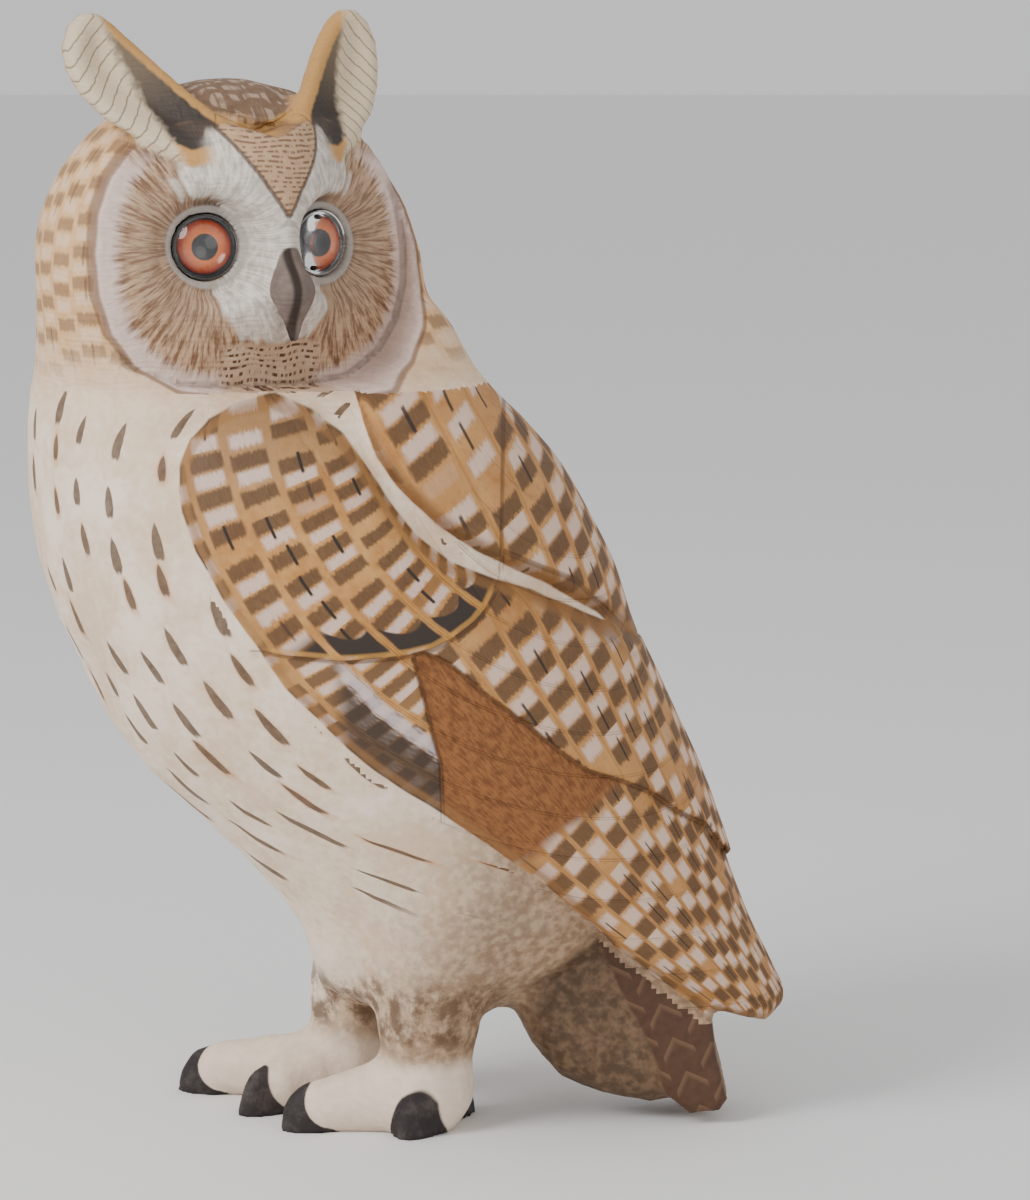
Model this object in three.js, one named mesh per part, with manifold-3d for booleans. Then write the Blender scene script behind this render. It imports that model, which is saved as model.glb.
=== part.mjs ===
// A carved wooden long-eared owl that stands on its own two feet and looks back over its left shoulder.
// The carving is one solid: breast, folded wings, tail, legs, toes, head and ear tufts.
// Two glass eyes sit in round sockets cut into it.
// Frame: millimetres, +Z up, -Y the way the breast points, +X the owl's left.
// The origin lies on the ground, under the middle of the whole length and width.
// The wood is a field that is negative inside it. The field is meshed on a grid and then thinned.
import * as THREE from "three";
import Module from "manifold-3d";

// Driving dimensions
const EYE_RADIUS = 8;
const EYE_BULGE = 3.6;
const EYE_SEAT = 3;
const EYE_GAP = 0.3;
const LID_HEIGHT = 0.8;
const LID_WIDTH = 2.6;
const EYE_SEGMENTS = 28;
const GRID_STEP = 1.6;
const BLOCK = 6;
const FILL = 0.01;
const LEVEL = 0.05;
const CARVED_TRIANGLES = 9400;
const WOOD_TRIANGLES = 9100;

// Every y below is measured from a point between the feet, this far in front of the origin
const FEET_AHEAD = 18;

// Paint and glass
const WOOD_COLOUR = "#b58a57";
const GLASS_COLOUR = "#c4471a";

// Level sections of the belly, breast and neck: height, front, back, half width
const BODY_SECTIONS = [
  [27, 6, 46, 12],
  [33, -3, 55, 20],
  [40, -6, 66, 26],
  [52, -11, 78, 33],
  [65, -21.5, 84, 40],
  [78, -35, 87, 46],
  [90, -47.5, 87, 51],
  [103, -57.3, 82, 55],
  [116, -63.5, 76, 57.5],
  [128, -69.3, 70, 58],
  [141, -73.3, 65, 57.5],
  [154, -75.5, 58.5, 56],
  [166, -76.3, 51, 53],
  [176, -75.5, 43, 48],
  [183, -73, 38, 38],
  [187, -71, 35, 28],
  [192, -68, 32, 22],
  [200, -62, 28, 21],
  [208, -56, 23.5, 21],
  [222, -50, 20, 20],
  [236, -40, 14, 16],
];

// Level sections of the folded wings and the mantle, which lie over the body and run down to the wing tips
const WING_SECTIONS = [
  [14, 94, 118, 8],
  [28, 76, 116.6, 15],
  [40, 55, 110.8, 25],
  [52, 30, 104.9, 34],
  [65, 0, 100, 42],
  [78, -32, 95.5, 48.5],
  [90, -49, 91, 54],
  [103, -60, 85, 58],
  [116, -67, 79, 61],
  [128, -73, 73, 61.5],
  [141, -77, 68.5, 61.5],
  [154, -79, 62, 60.5],
  [166, -80, 55, 58],
  [176, -80, 46.5, 53],
  [183, -79, 39.5, 46],
  [187, -75, 36, 37],
  [191, -68, 33, 27],
  [200, -60, 28, 21],
  [208, -50, 23, 19],
];

// Outlines seen from the side, as [y, z]: the wing, its feather groups, the mantle and the tail
const WING_OUTLINE = [
  [-3.9, 183.3], [-13.7, 186.2], [-22.2, 184.6], [-28.9, 181.3], [-33.2, 176.6], [-35.4, 170.6],
  [-35.4, 165.2], [-34.9, 159.8], [-31.5, 150.2], [-24.3, 137.4], [-17, 127.6], [-10.4, 117.6],
  [-1.8, 109.2], [5, 102], [12.2, 96.1], [20, 90.5], [27.5, 85.5], [40.5, 75.4], [52.7, 65.5],
  [62.8, 55.3], [69.8, 47.1], [81.1, 37.6], [92.5, 28.8], [107.9, 24.3], [111.9, 26.8], [125, 30],
  [125, 140], [76, 127], [66.2, 129.4], [58.3, 134.1], [49.5, 139], [40.6, 142.5],
  [29.8, 147.5], [21.2, 154.3], [14.6, 163.1], [9.3, 170.6], [3.8, 177.9],
];
const COVERTS_OUTLINE = [
  [-45, 126.5], [-13, 126.5], [-7, 126], [4, 125], [12.4, 125.4], [19.6, 126.2], [25.5, 127.4],
  [30.8, 130.2], [35.3, 133.3], [38.4, 137], [41.3, 143], [42, 200], [-45, 200],
];
const SECONDARIES_OUTLINE = [
  [-45, 135], [20, 135], [20.5, 125.4], [22.6, 117.6], [25.4, 105.1], [27.1, 98.3], [27.5, 75],
  [0, 75], [-45, 100],
];
const TERTIALS_OUTLINE = [
  [20, 130], [24, 126.5], [29.8, 123.4], [38.4, 115.7], [47.3, 108.5], [56, 100.7], [62.6, 95.4],
  [70.5, 92.2], [78.5, 87.9], [85.3, 82], [92.4, 77], [98.2, 67.7], [125, 60], [125, 121.7],
  [75, 121.7], [60, 140], [30, 155], [22, 145],
];
const MANTLE_OUTLINE = [
  [-12, 200], [6, 186], [11.4, 172.6], [16.7, 165.1], [25.5, 156.3], [36.2, 148.7], [52.6, 140],
  [65, 131.2], [74.9, 121.2], [125, 121.2], [125, 240], [-20, 240],
];
const UNDERTAIL_OUTLINE = [
  [41.5, 36], [42.5, 31.5], [45, 26.3], [48.8, 18.6], [56.4, 10.3], [66.5, 5.6], [79.2, 3.6],
  [86, 5], [90, 30], [80, 60], [40, 60],
];
const TAIL_OUTLINE = [
  [60, 60], [65, 49], [71, 35.5], [79, 20.4], [82.5, 7.6], [88.8, 2.6], [96.3, 3.2], [98.6, 6.5],
  [95.8, 17.3], [94, 30], [98, 60], [80, 80],
];

// How far each feather group stands off the wing's even surface
const COVERTS_RAISE = 0.9;
const SECONDARIES_RAISE = -0.3;
const PRIMARIES_RAISE = -1.1;
const TERTIALS_RAISE = 0.4;
const MANTLE_RAISE = 1;
const FEATHER_STEP = 2.6;
const TAIL_HALF_WIDTH = 17;
const UNDERTAIL_HALF_WIDTH = 15;

// The head, which is turned this far from the owl's left
const HEAD_CENTRE = [0, -27, 215];
const HEAD_TURN = THREE.MathUtils.degToRad(28);
const HEAD = { front: 33, back: 45, across: 47.5, high: 46 };
const EYE = { ahead: 21.2, side: 15.2, up: 6.2, splay: THREE.MathUtils.degToRad(15) };
const THROAT = { centre: [0, -41, 190], radii: [31, 31.5, 33] };
const FACE_CUT = { deep: 2.6, wide: 5, narrow: -1.5 };
const FACE = { rim: 17, dome: 11, tilt: 0.08 };

// Outlines seen from the front of the head, as [side, up]. Each is one half and reaches past the middle
const DISC_OUTLINE = [
  [-20, -29.5], [12, -29.8], [23.5, -28.4], [33, -22.6], [38.8, -14.6], [41.8, -5], [42.2, 5],
  [40.8, 15], [37.5, 23], [32.3, 29.6], [26, 34], [18, 36.5], [10.8, 36.5], [0, 33], [-20, 30],
];
const EAR_OUTLINE = [
  [8, 30], [9, 35], [11, 38.2], [15.2, 42.9], [19.8, 48.4], [25.5, 55.2], [29.5, 59.6],
  [33, 62.2], [36.5, 62.4], [39.9, 59.4], [42, 53.8], [41.6, 48.1], [39.5, 42.5], [35.3, 36.8],
  [29, 32], [20, 27],
];
const EAR_THICKNESS = 6.5;
const EAR_HOLLOW = 3.2;

// Toes as [x, y] of the root and of the claw, and how far the claw reaches past the toe's knuckle
const TOE_NAIL = 4;
const TOES = [
  [[-15, 2], [-23, -34]],
  [[-13, 0], [0, -18]],
  [[-15, 2], [-29, -4]],
  [[-15, 4], [-18, 19]],
  [[17, 18], [18.5, -6]],
  [[16, 22], [23, 20]],
  [[15, 22], [3, 29]],
];

const { abs, max, min, sqrt, hypot, cos, sin } = Math;
const clamp = (v, low, high) => min(max(v, low), high);

// Smooth union and smooth intersection of two fields, rounded over a width of k
function join(a, b, k) {
  const h = max(k - abs(a - b), 0) / k;
  return min(a, b) - h * h * k * 0.25;
}
const meet = (a, b, k) => -join(-a, -b, k);

// From 0 outside an outline to 1 inside it, over a given width
function inside(distance, width) {
  const t = clamp(0.5 - distance / width, 0, 1);
  return t * t * (3 - 2 * t);
}

// A smooth curve through [key, value] pairs, level past its ends
function curve(pairs) {
  const last = pairs.length - 1;
  const slopes = pairs.map((_, i) => {
    const a = pairs[max(i - 1, 0)];
    const b = pairs[min(i + 1, last)];
    return (b[1] - a[1]) / (b[0] - a[0]);
  });
  return (key) => {
    if (key <= pairs[0][0]) return pairs[0][1];
    if (key >= pairs[last][0]) return pairs[last][1];
    let i = 1;
    while (pairs[i][0] < key) i += 1;
    const [k0, v0] = pairs[i - 1];
    const [k1, v1] = pairs[i];
    const d = k1 - k0;
    const t = (key - k0) / d;
    const u = 1 - t;
    return u * u * (1 + 2 * t) * v0 + t * t * (3 - 2 * t) * v1
      + t * u * d * (u * slopes[i - 1] - t * slopes[i]);
  };
}

// Signed distance to a closed outline
function outline(points) {
  const edges = points.map(([ax, ay], i) => {
    const [bx, by] = points[(i + points.length - 1) % points.length];
    return { ax, ay, by, ex: bx - ax, ey: by - ay, long2: (bx - ax) ** 2 + (by - ay) ** 2 };
  });
  return (x, y) => {
    let nearest = Infinity;
    let within = false;
    for (const { ax, ay, by, ex, ey, long2 } of edges) {
      const wx = x - ax;
      const wy = y - ay;
      const t = clamp((wx * ex + wy * ey) / long2, 0, 1);
      nearest = min(nearest, (wx - ex * t) ** 2 + (wy - ey * t) ** 2);
      if (y >= ay !== y >= by && y >= ay === ex * wy <= ey * wx) within = !within;
    }
    return within ? -sqrt(nearest) : sqrt(nearest);
  };
}

function ellipsoid(x, y, z, rx, ry, rz) {
  const g = hypot(x / rx, y / ry, z / rz);
  const slope = hypot(x / (rx * rx), y / (ry * ry), z / (rz * rz));
  return slope < 1e-6 ? -min(rx, ry, rz) : (g * (g - 1)) / slope;
}

// A bar with round ends, whose radius runs from ra at a to rb at b
function bar(x, y, z, a, b, ra, rb) {
  const dx = b[0] - a[0];
  const dy = b[1] - a[1];
  const dz = b[2] - a[2];
  const px = x - a[0];
  const py = y - a[1];
  const pz = z - a[2];
  const t = clamp((px * dx + py * dy + pz * dz) / (dx * dx + dy * dy + dz * dz), 0, 1);
  return hypot(px - t * dx, py - t * dy, pz - t * dz) - (ra + (rb - ra) * t);
}

// A solid stacked from level ellipses
function stack(sections) {
  const front = curve(sections.map((s) => [s[0], s[1]]));
  const back = curve(sections.map((s) => [s[0], s[2]]));
  const half = curve(sections.map((s) => [s[0], s[3]]));
  const low = sections[0][0];
  const high = sections[sections.length - 1][0];
  return (x, y, z) => {
    const yf = front(z);
    const yb = back(z);
    const a = (yb - yf) / 2;
    const w = half(z);
    const cy = y - (yf + yb) / 2;
    const g = hypot(x / w, cy / a);
    const slope = hypot(x / (w * w), cy / (a * a));
    const side = slope < 1e-6 ? -min(a, w) : (g * (g - 1)) / slope;
    return meet(meet(side * 0.85, low - z, 8), z - high, 8);
  };
}

const body = stack(BODY_SECTIONS);
const wingHull = stack(WING_SECTIONS);
const wingEdge = outline(WING_OUTLINE);
const covertsEdge = outline(COVERTS_OUTLINE);
const secondariesEdge = outline(SECONDARIES_OUTLINE);
const tertialsEdge = outline(TERTIALS_OUTLINE);
const mantleEdge = outline(MANTLE_OUTLINE);
const undertailEdge = outline(UNDERTAIL_OUTLINE);
const tailEdge = outline(TAIL_OUTLINE);
const discEdge = outline(DISC_OUTLINE);
const earEdge = outline(EAR_OUTLINE);

// The stepped feather groups of a folded wing
function wingRaise(y, z) {
  let raise = PRIMARIES_RAISE;
  raise += (SECONDARIES_RAISE - raise) * inside(secondariesEdge(y, z), FEATHER_STEP);
  raise += (TERTIALS_RAISE - raise) * inside(tertialsEdge(y, z), FEATHER_STEP);
  raise += (COVERTS_RAISE - raise) * inside(covertsEdge(y, z), FEATHER_STEP);
  return raise;
}

// Both wings and the mantle, with the slot between the wing tips
function wings(x, y, z) {
  const hull = wingHull(x, y, z);
  const wing = meet(hull - wingRaise(y, z), wingEdge(y, z), 7);
  const mantle = meet(hull - MANTLE_RAISE, mantleEdge(y, z), 6);
  const slot = clamp((74 - z) * 0.06, 0, 2.8) - abs(x);
  return join(meet(wing, slot, 2), mantle, 3);
}

function tail(x, y, z) {
  const across = abs(x);
  const under = meet(undertailEdge(y, z), across - UNDERTAIL_HALF_WIDTH, 14);
  const blade = meet(tailEdge(y, z), across - TAIL_HALF_WIDTH + (y - 60) * 0.06, 2.5);
  return join(under, blade, 2);
}

function legs(x, y, z) {
  const nearThigh = bar(x, y, z, [19, 30, 62], [17, 23.5, 30], 20, 11.5);
  const nearShank = bar(x, y, z, [17, 23.5, 30], [16.5, 22.5, 10], 11.5, 11.5);
  const farThigh = bar(x, y, z, [-18, 14, 62], [-15, 4, 30], 18, 10);
  const farShank = bar(x, y, z, [-15, 4, 30], [-15, 2.5, 10], 10, 10.5);
  return join(join(nearThigh, nearShank, 6), join(farThigh, farShank, 6), 3);
}

function feet(x, y, z) {
  let d = Infinity;
  for (const [[ax, ay], [bx, by]] of TOES) {
    const long = hypot(bx - ax, by - ay);
    const ux = (bx - ax) / long;
    const uy = (by - ay) / long;
    const px = x - bx;
    const py = y - by;
    const knuckle = [bx - TOE_NAIL * ux, by - TOE_NAIL * uy, 6.5];
    d = join(d, bar(x, y, z, [ax, ay, 9], knuckle, 10, 6.8), 5);
    d = join(d, ellipsoid(px * ux + py * uy, py * ux - px * uy, z + 1, 8, 5, 13), 1);
  }
  return d;
}

// Ahead, side and up in the turned head's own frame
function headFrame(x, y, z) {
  const dx = x - HEAD_CENTRE[0];
  const dy = y - HEAD_CENTRE[1];
  const c = cos(HEAD_TURN);
  const s = sin(HEAD_TURN);
  return [dx * c + dy * s, dy * c - dx * s, z - HEAD_CENTRE[2]];
}

// Along an eye's axis from its seat, and away from the axis
function eyeFrame(ahead, side, up) {
  const dw = ahead - EYE.ahead;
  const ds = abs(side) - EYE.side;
  const c = cos(EYE.splay);
  const s = sin(EYE.splay);
  return [dw * c + ds * s, hypot(ds * c - dw * s, up - EYE.up)];
}

function skull(ahead, side, up) {
  return ellipsoid(ahead, side, up, ahead > 0 ? HEAD.front : HEAD.back, HEAD.across, HEAD.high);
}

// The flat of the face, as how far ahead it lies
function dish(side, up) {
  const tall = up > 0 ? 52 : 40;
  return FACE.rim - FACE.tilt * up + FACE.dome * (1 - (side / 43) ** 2 - (up / tall) ** 2);
}

// The face disc, with the forehead, the bridge, the muzzle and the eyelids built up on it
function face(ahead, side, up) {
  const across = abs(side);
  let d = meet((ahead - dish(side, up)) * 0.85, ellipsoid(ahead, side, up, 60, 47, 60), 2);
  d = join(d, ellipsoid(ahead - 8, side, up - 21, 28.5, 25, 22), 6);
  d = join(d, bar(ahead, side, up, [32, 0, 14], [33, 0, 2], 5.2, 6), 5);
  d = join(d, ellipsoid(ahead - 21, side, up + 4, 15.5, 17, 15), 6);
  const [along, away] = eyeFrame(ahead, side, up);
  const lid = EYE_RADIUS + LID_WIDTH;
  d = meet(d, -max(LID_HEIGHT - along, away - lid - along * 0.25), 5);
  d = join(d, max(along - LID_HEIGHT, -8 - along, away - lid), 2);
  return meet(d, max(discEdge(across, up), 4 - ahead), 1);
}

function beak(ahead, side, up) {
  const root = bar(ahead, side, up, [36, 0, 5], [39.5, 0, -4], 2.8, 4.5);
  const hook = bar(ahead, side, up, [39.5, 0, -4], [39.5, 0, -15], 4.5, 1.3);
  return join(root, hook, 4);
}

// A tuft: a thin blade that leans back and out, hollow in front
function ear(ahead, side, up) {
  const across = abs(side);
  const edge = earEdge(across, up);
  const lean = 54 - 0.41 * across - 0.74 * up;
  const hollow = EAR_HOLLOW * inside(edge + 6, 8);
  const front = -0.5 + (lean + sqrt(lean * lean + 60)) / 2 - hollow;
  const slab = max(ahead - front, front - EAR_THICKNESS + hollow * 0.6 - ahead) * 0.8;
  return meet(slab, edge, 2);
}

function owl(x, y, z) {
  let d = join(body(x, y, z), wings(x, y, z), 2);
  if (z < 90) {
    d = join(d, tail(x, y, z), 3);
    d = join(d, legs(x, y, z), 8);
    d = join(d, feet(x, y, z), 5);
  }
  if (z > 150) {
    const [ahead, side, up] = headFrame(x, y, z);
    const [cx, cy, cz] = THROAT.centre;
    d = join(d, ellipsoid(x - cx, y - cy, z - cz, ...THROAT.radii), 12);
    d = join(d, skull(ahead, side, up), 9);
    // The wood is cleared round the face on the breast's side, and the face stands off it there by a step
    const free = inside(-20 - up, 14) * inside(side, 24);
    const rim = FACE_CUT.narrow + (FACE_CUT.wide - FACE_CUT.narrow) * free;
    const cleared = max(discEdge(abs(side), up) - rim, dish(side, up) - FACE_CUT.deep - ahead);
    d = meet(d, -cleared, 4);
    d = min(d, face(ahead, side, up));
    d = join(d, beak(ahead, side, up), 0.8);
    d = join(d, ear(ahead, side, up), 2.5);
  }
  return max(d, -z);
}

// Samples a field on a grid. Blocks that the surface can't reach take the value at their middle
function sampleField(field, low, high, step) {
  const n = [0, 1, 2].map((i) => Math.ceil((high[i] - low[i]) / step) + 1);
  const strides = [1, n[0], n[0] * n[1]];
  const at = (i, j, k) => field(low[0] + i * step, low[1] + j * step, low[2] + k * step);
  const values = new Float32Array(n[0] * n[1] * n[2]).fill(1);
  const reach = BLOCK * step * 1.4;
  const half = (BLOCK - 1) / 2;
  const fillBlock = (i, j, k) => {
    const middle = at(i + half, j + half, k + half);
    for (let c = k; c < min(k + BLOCK, n[2]); c += 1) {
      for (let b = j; b < min(j + BLOCK, n[1]); b += 1) {
        for (let a = i; a < min(i + BLOCK, n[0]); a += 1) {
          values[a + b * strides[1] + c * strides[2]] = abs(middle) > reach ? middle : at(a, b, c);
        }
      }
    }
  };
  for (let k = 0; k < n[2]; k += BLOCK) {
    for (let j = 0; j < n[1]; j += BLOCK) {
      for (let i = 0; i < n[0]; i += BLOCK) fillBlock(i, j, k);
    }
  }
  return { values, n, strides };
}

// Fills one corner of each grid square where two sheets of the surface would meet along an edge
function partSheets(values, strides) {
  let filled = 1;
  while (filled > 0) {
    filled = 0;
    for (let axis = 0; axis < 3; axis += 1) {
      const u = strides[axis];
      const v = strides[(axis + 1) % 3];
      for (let a = 0; a + u + v < values.length; a += 1) {
        const square = [a, a + u + v, a + u, a + v];
        const [first, second, third, fourth] = square.map((i) => values[i] < 0);
        if (first !== second || third !== fourth || first === third) continue;
        const [one, other] = first ? square.slice(2) : square;
        values[values[one] < values[other] ? one : other] = -FILL;
        filled += 1;
      }
    }
  }
}

// Each grid cell that the surface crosses gets one vertex, and each crossed grid edge gives two triangles
function meshField(field, low, high, step) {
  const { values, n, strides } = sampleField(field, low, high, step);
  partSheets(values, strides);
  const vertexOf = new Int32Array(values.length).fill(-1);
  const vertices = [];
  const placeVertex = (cell) => {
    const here = cell[0] + cell[1] * strides[1] + cell[2] * strides[2];
    const sum = [0, 0, 0];
    let crossings = 0;
    for (let edge = 0; edge < 12; edge += 1) {
      const axis = edge % 3;
      const u = (axis + 1) % 3;
      const v = (axis + 2) % 3;
      const right = edge < 6 ? 0 : 1;
      const up = edge % 6 < 3 ? 0 : 1;
      const from = here + right * strides[u] + up * strides[v];
      const a = values[from];
      const b = values[from + strides[axis]];
      if (a < 0 === b < 0) continue;
      sum[axis] += a / (a - b);
      sum[u] += right;
      sum[v] += up;
      crossings += 1;
    }
    if (crossings === 0) return;
    vertexOf[here] = vertices.length / 3;
    for (let c = 0; c < 3; c += 1) vertices.push(low[c] + (cell[c] + sum[c] / crossings) * step);
  };
  for (let k = 0; k + 1 < n[2]; k += 1) {
    for (let j = 0; j + 1 < n[1]; j += 1) {
      for (let i = 0; i + 1 < n[0]; i += 1) placeVertex([i, j, k]);
    }
  }
  const triangles = [];
  for (let here = 0; here < values.length; here += 1) {
    for (let axis = 0; axis < 3; axis += 1) {
      const next = here + strides[axis];
      if (next >= values.length || values[here] < 0 === values[next] < 0) continue;
      const u = strides[(axis + 1) % 3];
      const v = strides[(axis + 2) % 3];
      const quad = [here, here - u, here - u - v, here - v].map((at) => vertexOf[at]);
      if (values[here] >= 0) quad.reverse();
      triangles.push(quad[0], quad[1], quad[2], quad[0], quad[2], quad[3]);
    }
  }
  return { vertices, triangles };
}

// The sums that give the squared distance to a vertex's planes, as the ten terms of a quadric
function addPlane(q, at, nx, ny, nz, d, weight) {
  const terms = [
    nx * nx, nx * ny, nx * nz, nx * d, ny * ny, ny * nz, ny * d, nz * nz, nz * d, d * d,
  ];
  for (let i = 0; i < 10; i += 1) q[at + i] += terms[i] * weight;
}

function planeError(q, x, y, z) {
  return q[0] * x * x + q[4] * y * y + q[7] * z * z + q[9]
    + 2 * (q[1] * x * y + q[2] * x * z + q[5] * y * z + q[3] * x + q[6] * y + q[8] * z);
}

// The point where a quadric is least, or null where it has no clear one
function leastPoint(q) {
  const a = q[4] * q[7] - q[5] * q[5];
  const b = q[2] * q[5] - q[1] * q[7];
  const c = q[1] * q[5] - q[2] * q[4];
  const whole = q[0] * a + q[1] * b + q[2] * c;
  if (abs(whole) < 1e-7) return null;
  const d = q[0] * q[7] - q[2] * q[2];
  const e = q[1] * q[2] - q[0] * q[5];
  const f = q[0] * q[4] - q[1] * q[1];
  return [
    -(a * q[3] + b * q[6] + c * q[8]) / whole,
    -(b * q[3] + d * q[6] + e * q[8]) / whole,
    -(c * q[3] + e * q[6] + f * q[8]) / whole,
  ];
}

// A heap of edges with the cheapest first
function makeHeap() {
  const items = [];
  const swap = (i, j) => {
    [items[i], items[j]] = [items[j], items[i]];
  };
  return {
    push(item) {
      items.push(item);
      let i = items.length - 1;
      while (i > 0 && items[(i - 1) >> 1].cost > items[i].cost) {
        swap(i, (i - 1) >> 1);
        i = (i - 1) >> 1;
      }
    },
    pop() {
      const top = items[0];
      const last = items.pop();
      if (items.length === 0) return top;
      items[0] = last;
      let i = 0;
      for (;;) {
        let least = i;
        for (const child of [2 * i + 1, 2 * i + 2])
          if (child < items.length && items[child].cost < items[least].cost) least = child;
        if (least === i) return top;
        swap(i, least);
        i = least;
      }
    },
    get size() {
      return items.length;
    },
  };
}

// Thins a closed mesh by joining the ends of the edges that matter least to its form
function thin({ vertices, triangles }, wanted) {
  const p = Float64Array.from(vertices);
  const t = Int32Array.from(triangles);
  const count = p.length / 3;
  const q = new Float64Array(count * 10);
  const around = Array.from({ length: count }, () => new Set());
  const version = new Int32Array(count);
  const cross = (a, b, c) => {
    const ux = p[b * 3] - p[a * 3];
    const uy = p[b * 3 + 1] - p[a * 3 + 1];
    const uz = p[b * 3 + 2] - p[a * 3 + 2];
    const vx = p[c * 3] - p[a * 3];
    const vy = p[c * 3 + 1] - p[a * 3 + 1];
    const vz = p[c * 3 + 2] - p[a * 3 + 2];
    return [uy * vz - uz * vy, uz * vx - ux * vz, ux * vy - uy * vx];
  };
  for (let f = 0; f < t.length / 3; f += 1) {
    const corners = [t[f * 3], t[f * 3 + 1], t[f * 3 + 2]];
    const [nx, ny, nz] = cross(...corners);
    const size = hypot(nx, ny, nz);
    const [a] = corners;
    const d = -(nx * p[a * 3] + ny * p[a * 3 + 1] + nz * p[a * 3 + 2]) / size;
    for (const corner of corners) {
      around[corner].add(f);
      addPlane(q, corner * 10, nx / size, ny / size, nz / size, d, size);
    }
  }
  const neighbours = (v) => {
    const found = new Set();
    for (const f of around[v]) {
      for (let c = 0; c < 3; c += 1) found.add(t[f * 3 + c]);
    }
    found.delete(v);
    return found;
  };
  const heap = makeHeap();
  const offer = (a, b) => {
    const both = new Float64Array(10);
    for (let i = 0; i < 10; i += 1) both[i] = q[a * 10 + i] + q[b * 10 + i];
    const middle = [0, 1, 2].map((c) => (p[a * 3 + c] + p[b * 3 + c]) / 2);
    const long = hypot(...[0, 1, 2].map((c) => p[a * 3 + c] - p[b * 3 + c]));
    let to = leastPoint(both);
    if (to === null || hypot(...to.map((v, c) => v - middle[c])) > long) to = middle;
    const cost = max(planeError(both, ...to), 0) + long * long * 1e-3;
    heap.push({ a, b, to, cost, stamp: version[a] + version[b] });
  };
  for (let f = 0; f < t.length; f += 3) {
    for (let c = 0; c < 3; c += 1) {
      const from = t[f + c];
      const to = t[f + ((c + 1) % 3)];
      if (from < to) offer(from, to);
    }
  }
  // A move is allowed if no triangle it touches turns over or becomes a sliver
  const allowed = (moving, other, to) => {
    for (const f of around[moving]) {
      const corners = [t[f * 3], t[f * 3 + 1], t[f * 3 + 2]];
      if (corners.includes(other)) continue;
      const before = cross(...corners);
      const kept = [p[moving * 3], p[moving * 3 + 1], p[moving * 3 + 2]];
      p.set(to, moving * 3);
      const after = cross(...corners);
      p.set(kept, moving * 3);
      const dot = before[0] * after[0] + before[1] * after[1] + before[2] * after[2];
      if (dot < 0.3 * hypot(...before) * hypot(...after)) return false;
      if (hypot(...after) < 0.05) return false;
    }
    return true;
  };
  let left = t.length / 3;
  const gone = new Uint8Array(t.length / 3);
  while (left > wanted && heap.size > 0) {
    const { a, b, to, stamp } = heap.pop();
    if (version[a] < 0 || version[b] < 0 || stamp !== version[a] + version[b]) continue;
    const nearB = neighbours(b);
    const shared = [...neighbours(a)].filter((v) => nearB.has(v));
    if (shared.length !== 2 || !allowed(a, b, to) || !allowed(b, a, to)) continue;
    p.set(to, a * 3);
    for (let i = 0; i < 10; i += 1) q[a * 10 + i] += q[b * 10 + i];
    for (const f of around[b]) {
      const corners = [t[f * 3], t[f * 3 + 1], t[f * 3 + 2]];
      if (corners.includes(a)) {
        gone[f] = 1;
        left -= 1;
        corners.filter((corner) => corner !== b).forEach((corner) => around[corner].delete(f));
      } else {
        t[f * 3 + corners.indexOf(b)] = a;
        around[a].add(f);
      }
    }
    around[b] = new Set();
    version[b] = -1;
    version[a] += 1;
    for (const v of neighbours(a)) offer(a, v);
  }
  const index = new Map();
  const points = [];
  const faces = [];
  for (let f = 0; f < gone.length; f += 1) {
    if (gone[f]) continue;
    for (let c = 0; c < 3; c += 1) {
      const v = t[f * 3 + c];
      if (!index.has(v)) {
        index.set(v, points.length / 3);
        points.push(p[v * 3], p[v * 3 + 1], p[v * 3 + 2]);
      }
      faces.push(index.get(v));
    }
  }
  return { vertices: points, triangles: faces };
}

// A turned solid from a profile of [radius, height], which starts and ends on the axis
function turned(profile) {
  const rings = profile.slice(1, -1);
  const vertices = [0, 0, profile[0][1]];
  for (const [radius, height] of rings) {
    for (let i = 0; i < EYE_SEGMENTS; i += 1) {
      const angle = (i / EYE_SEGMENTS) * 2 * Math.PI;
      vertices.push(radius * cos(angle), radius * sin(angle), height);
    }
  }
  vertices.push(0, 0, profile[profile.length - 1][1]);
  const top = vertices.length / 3 - 1;
  const at = (ring, i) => 1 + ring * EYE_SEGMENTS + (i % EYE_SEGMENTS);
  const triangles = [];
  for (let i = 0; i < EYE_SEGMENTS; i += 1) {
    triangles.push(0, at(0, i + 1), at(0, i));
    for (let r = 0; r + 1 < rings.length; r += 1) {
      triangles.push(at(r, i), at(r, i + 1), at(r + 1, i + 1));
      triangles.push(at(r, i), at(r + 1, i + 1), at(r + 1, i));
    }
    triangles.push(at(rings.length - 1, i), at(rings.length - 1, i + 1), top);
  }
  return { vertices, triangles };
}

// Sets a turned solid in the head, with its axis along the gaze of the eye on one side
function setInHead({ vertices, triangles }, side) {
  const gaze = HEAD_TURN + side * EYE.splay;
  const axis = new THREE.Vector3(cos(gaze), sin(gaze), 0);
  const level = new THREE.Vector3(-sin(gaze), cos(gaze), 0);
  const ahead = new THREE.Vector3(cos(HEAD_TURN), sin(HEAD_TURN), 0);
  const across = new THREE.Vector3(-sin(HEAD_TURN), cos(HEAD_TURN), 0);
  const seat = new THREE.Vector3(...HEAD_CENTRE)
    .addScaledVector(ahead, EYE.ahead)
    .addScaledVector(across, side * EYE.side);
  seat.z += EYE.up;
  const place = new THREE.Matrix4()
    .makeBasis(level, new THREE.Vector3(0, 0, 1), axis)
    .setPosition(seat);
  const moved = [];
  const point = new THREE.Vector3();
  for (let i = 0; i < vertices.length; i += 3) {
    point.fromArray(vertices, i).applyMatrix4(place);
    moved.push(point.x, point.y, point.z);
  }
  return { vertices: moved, triangles };
}

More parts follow.
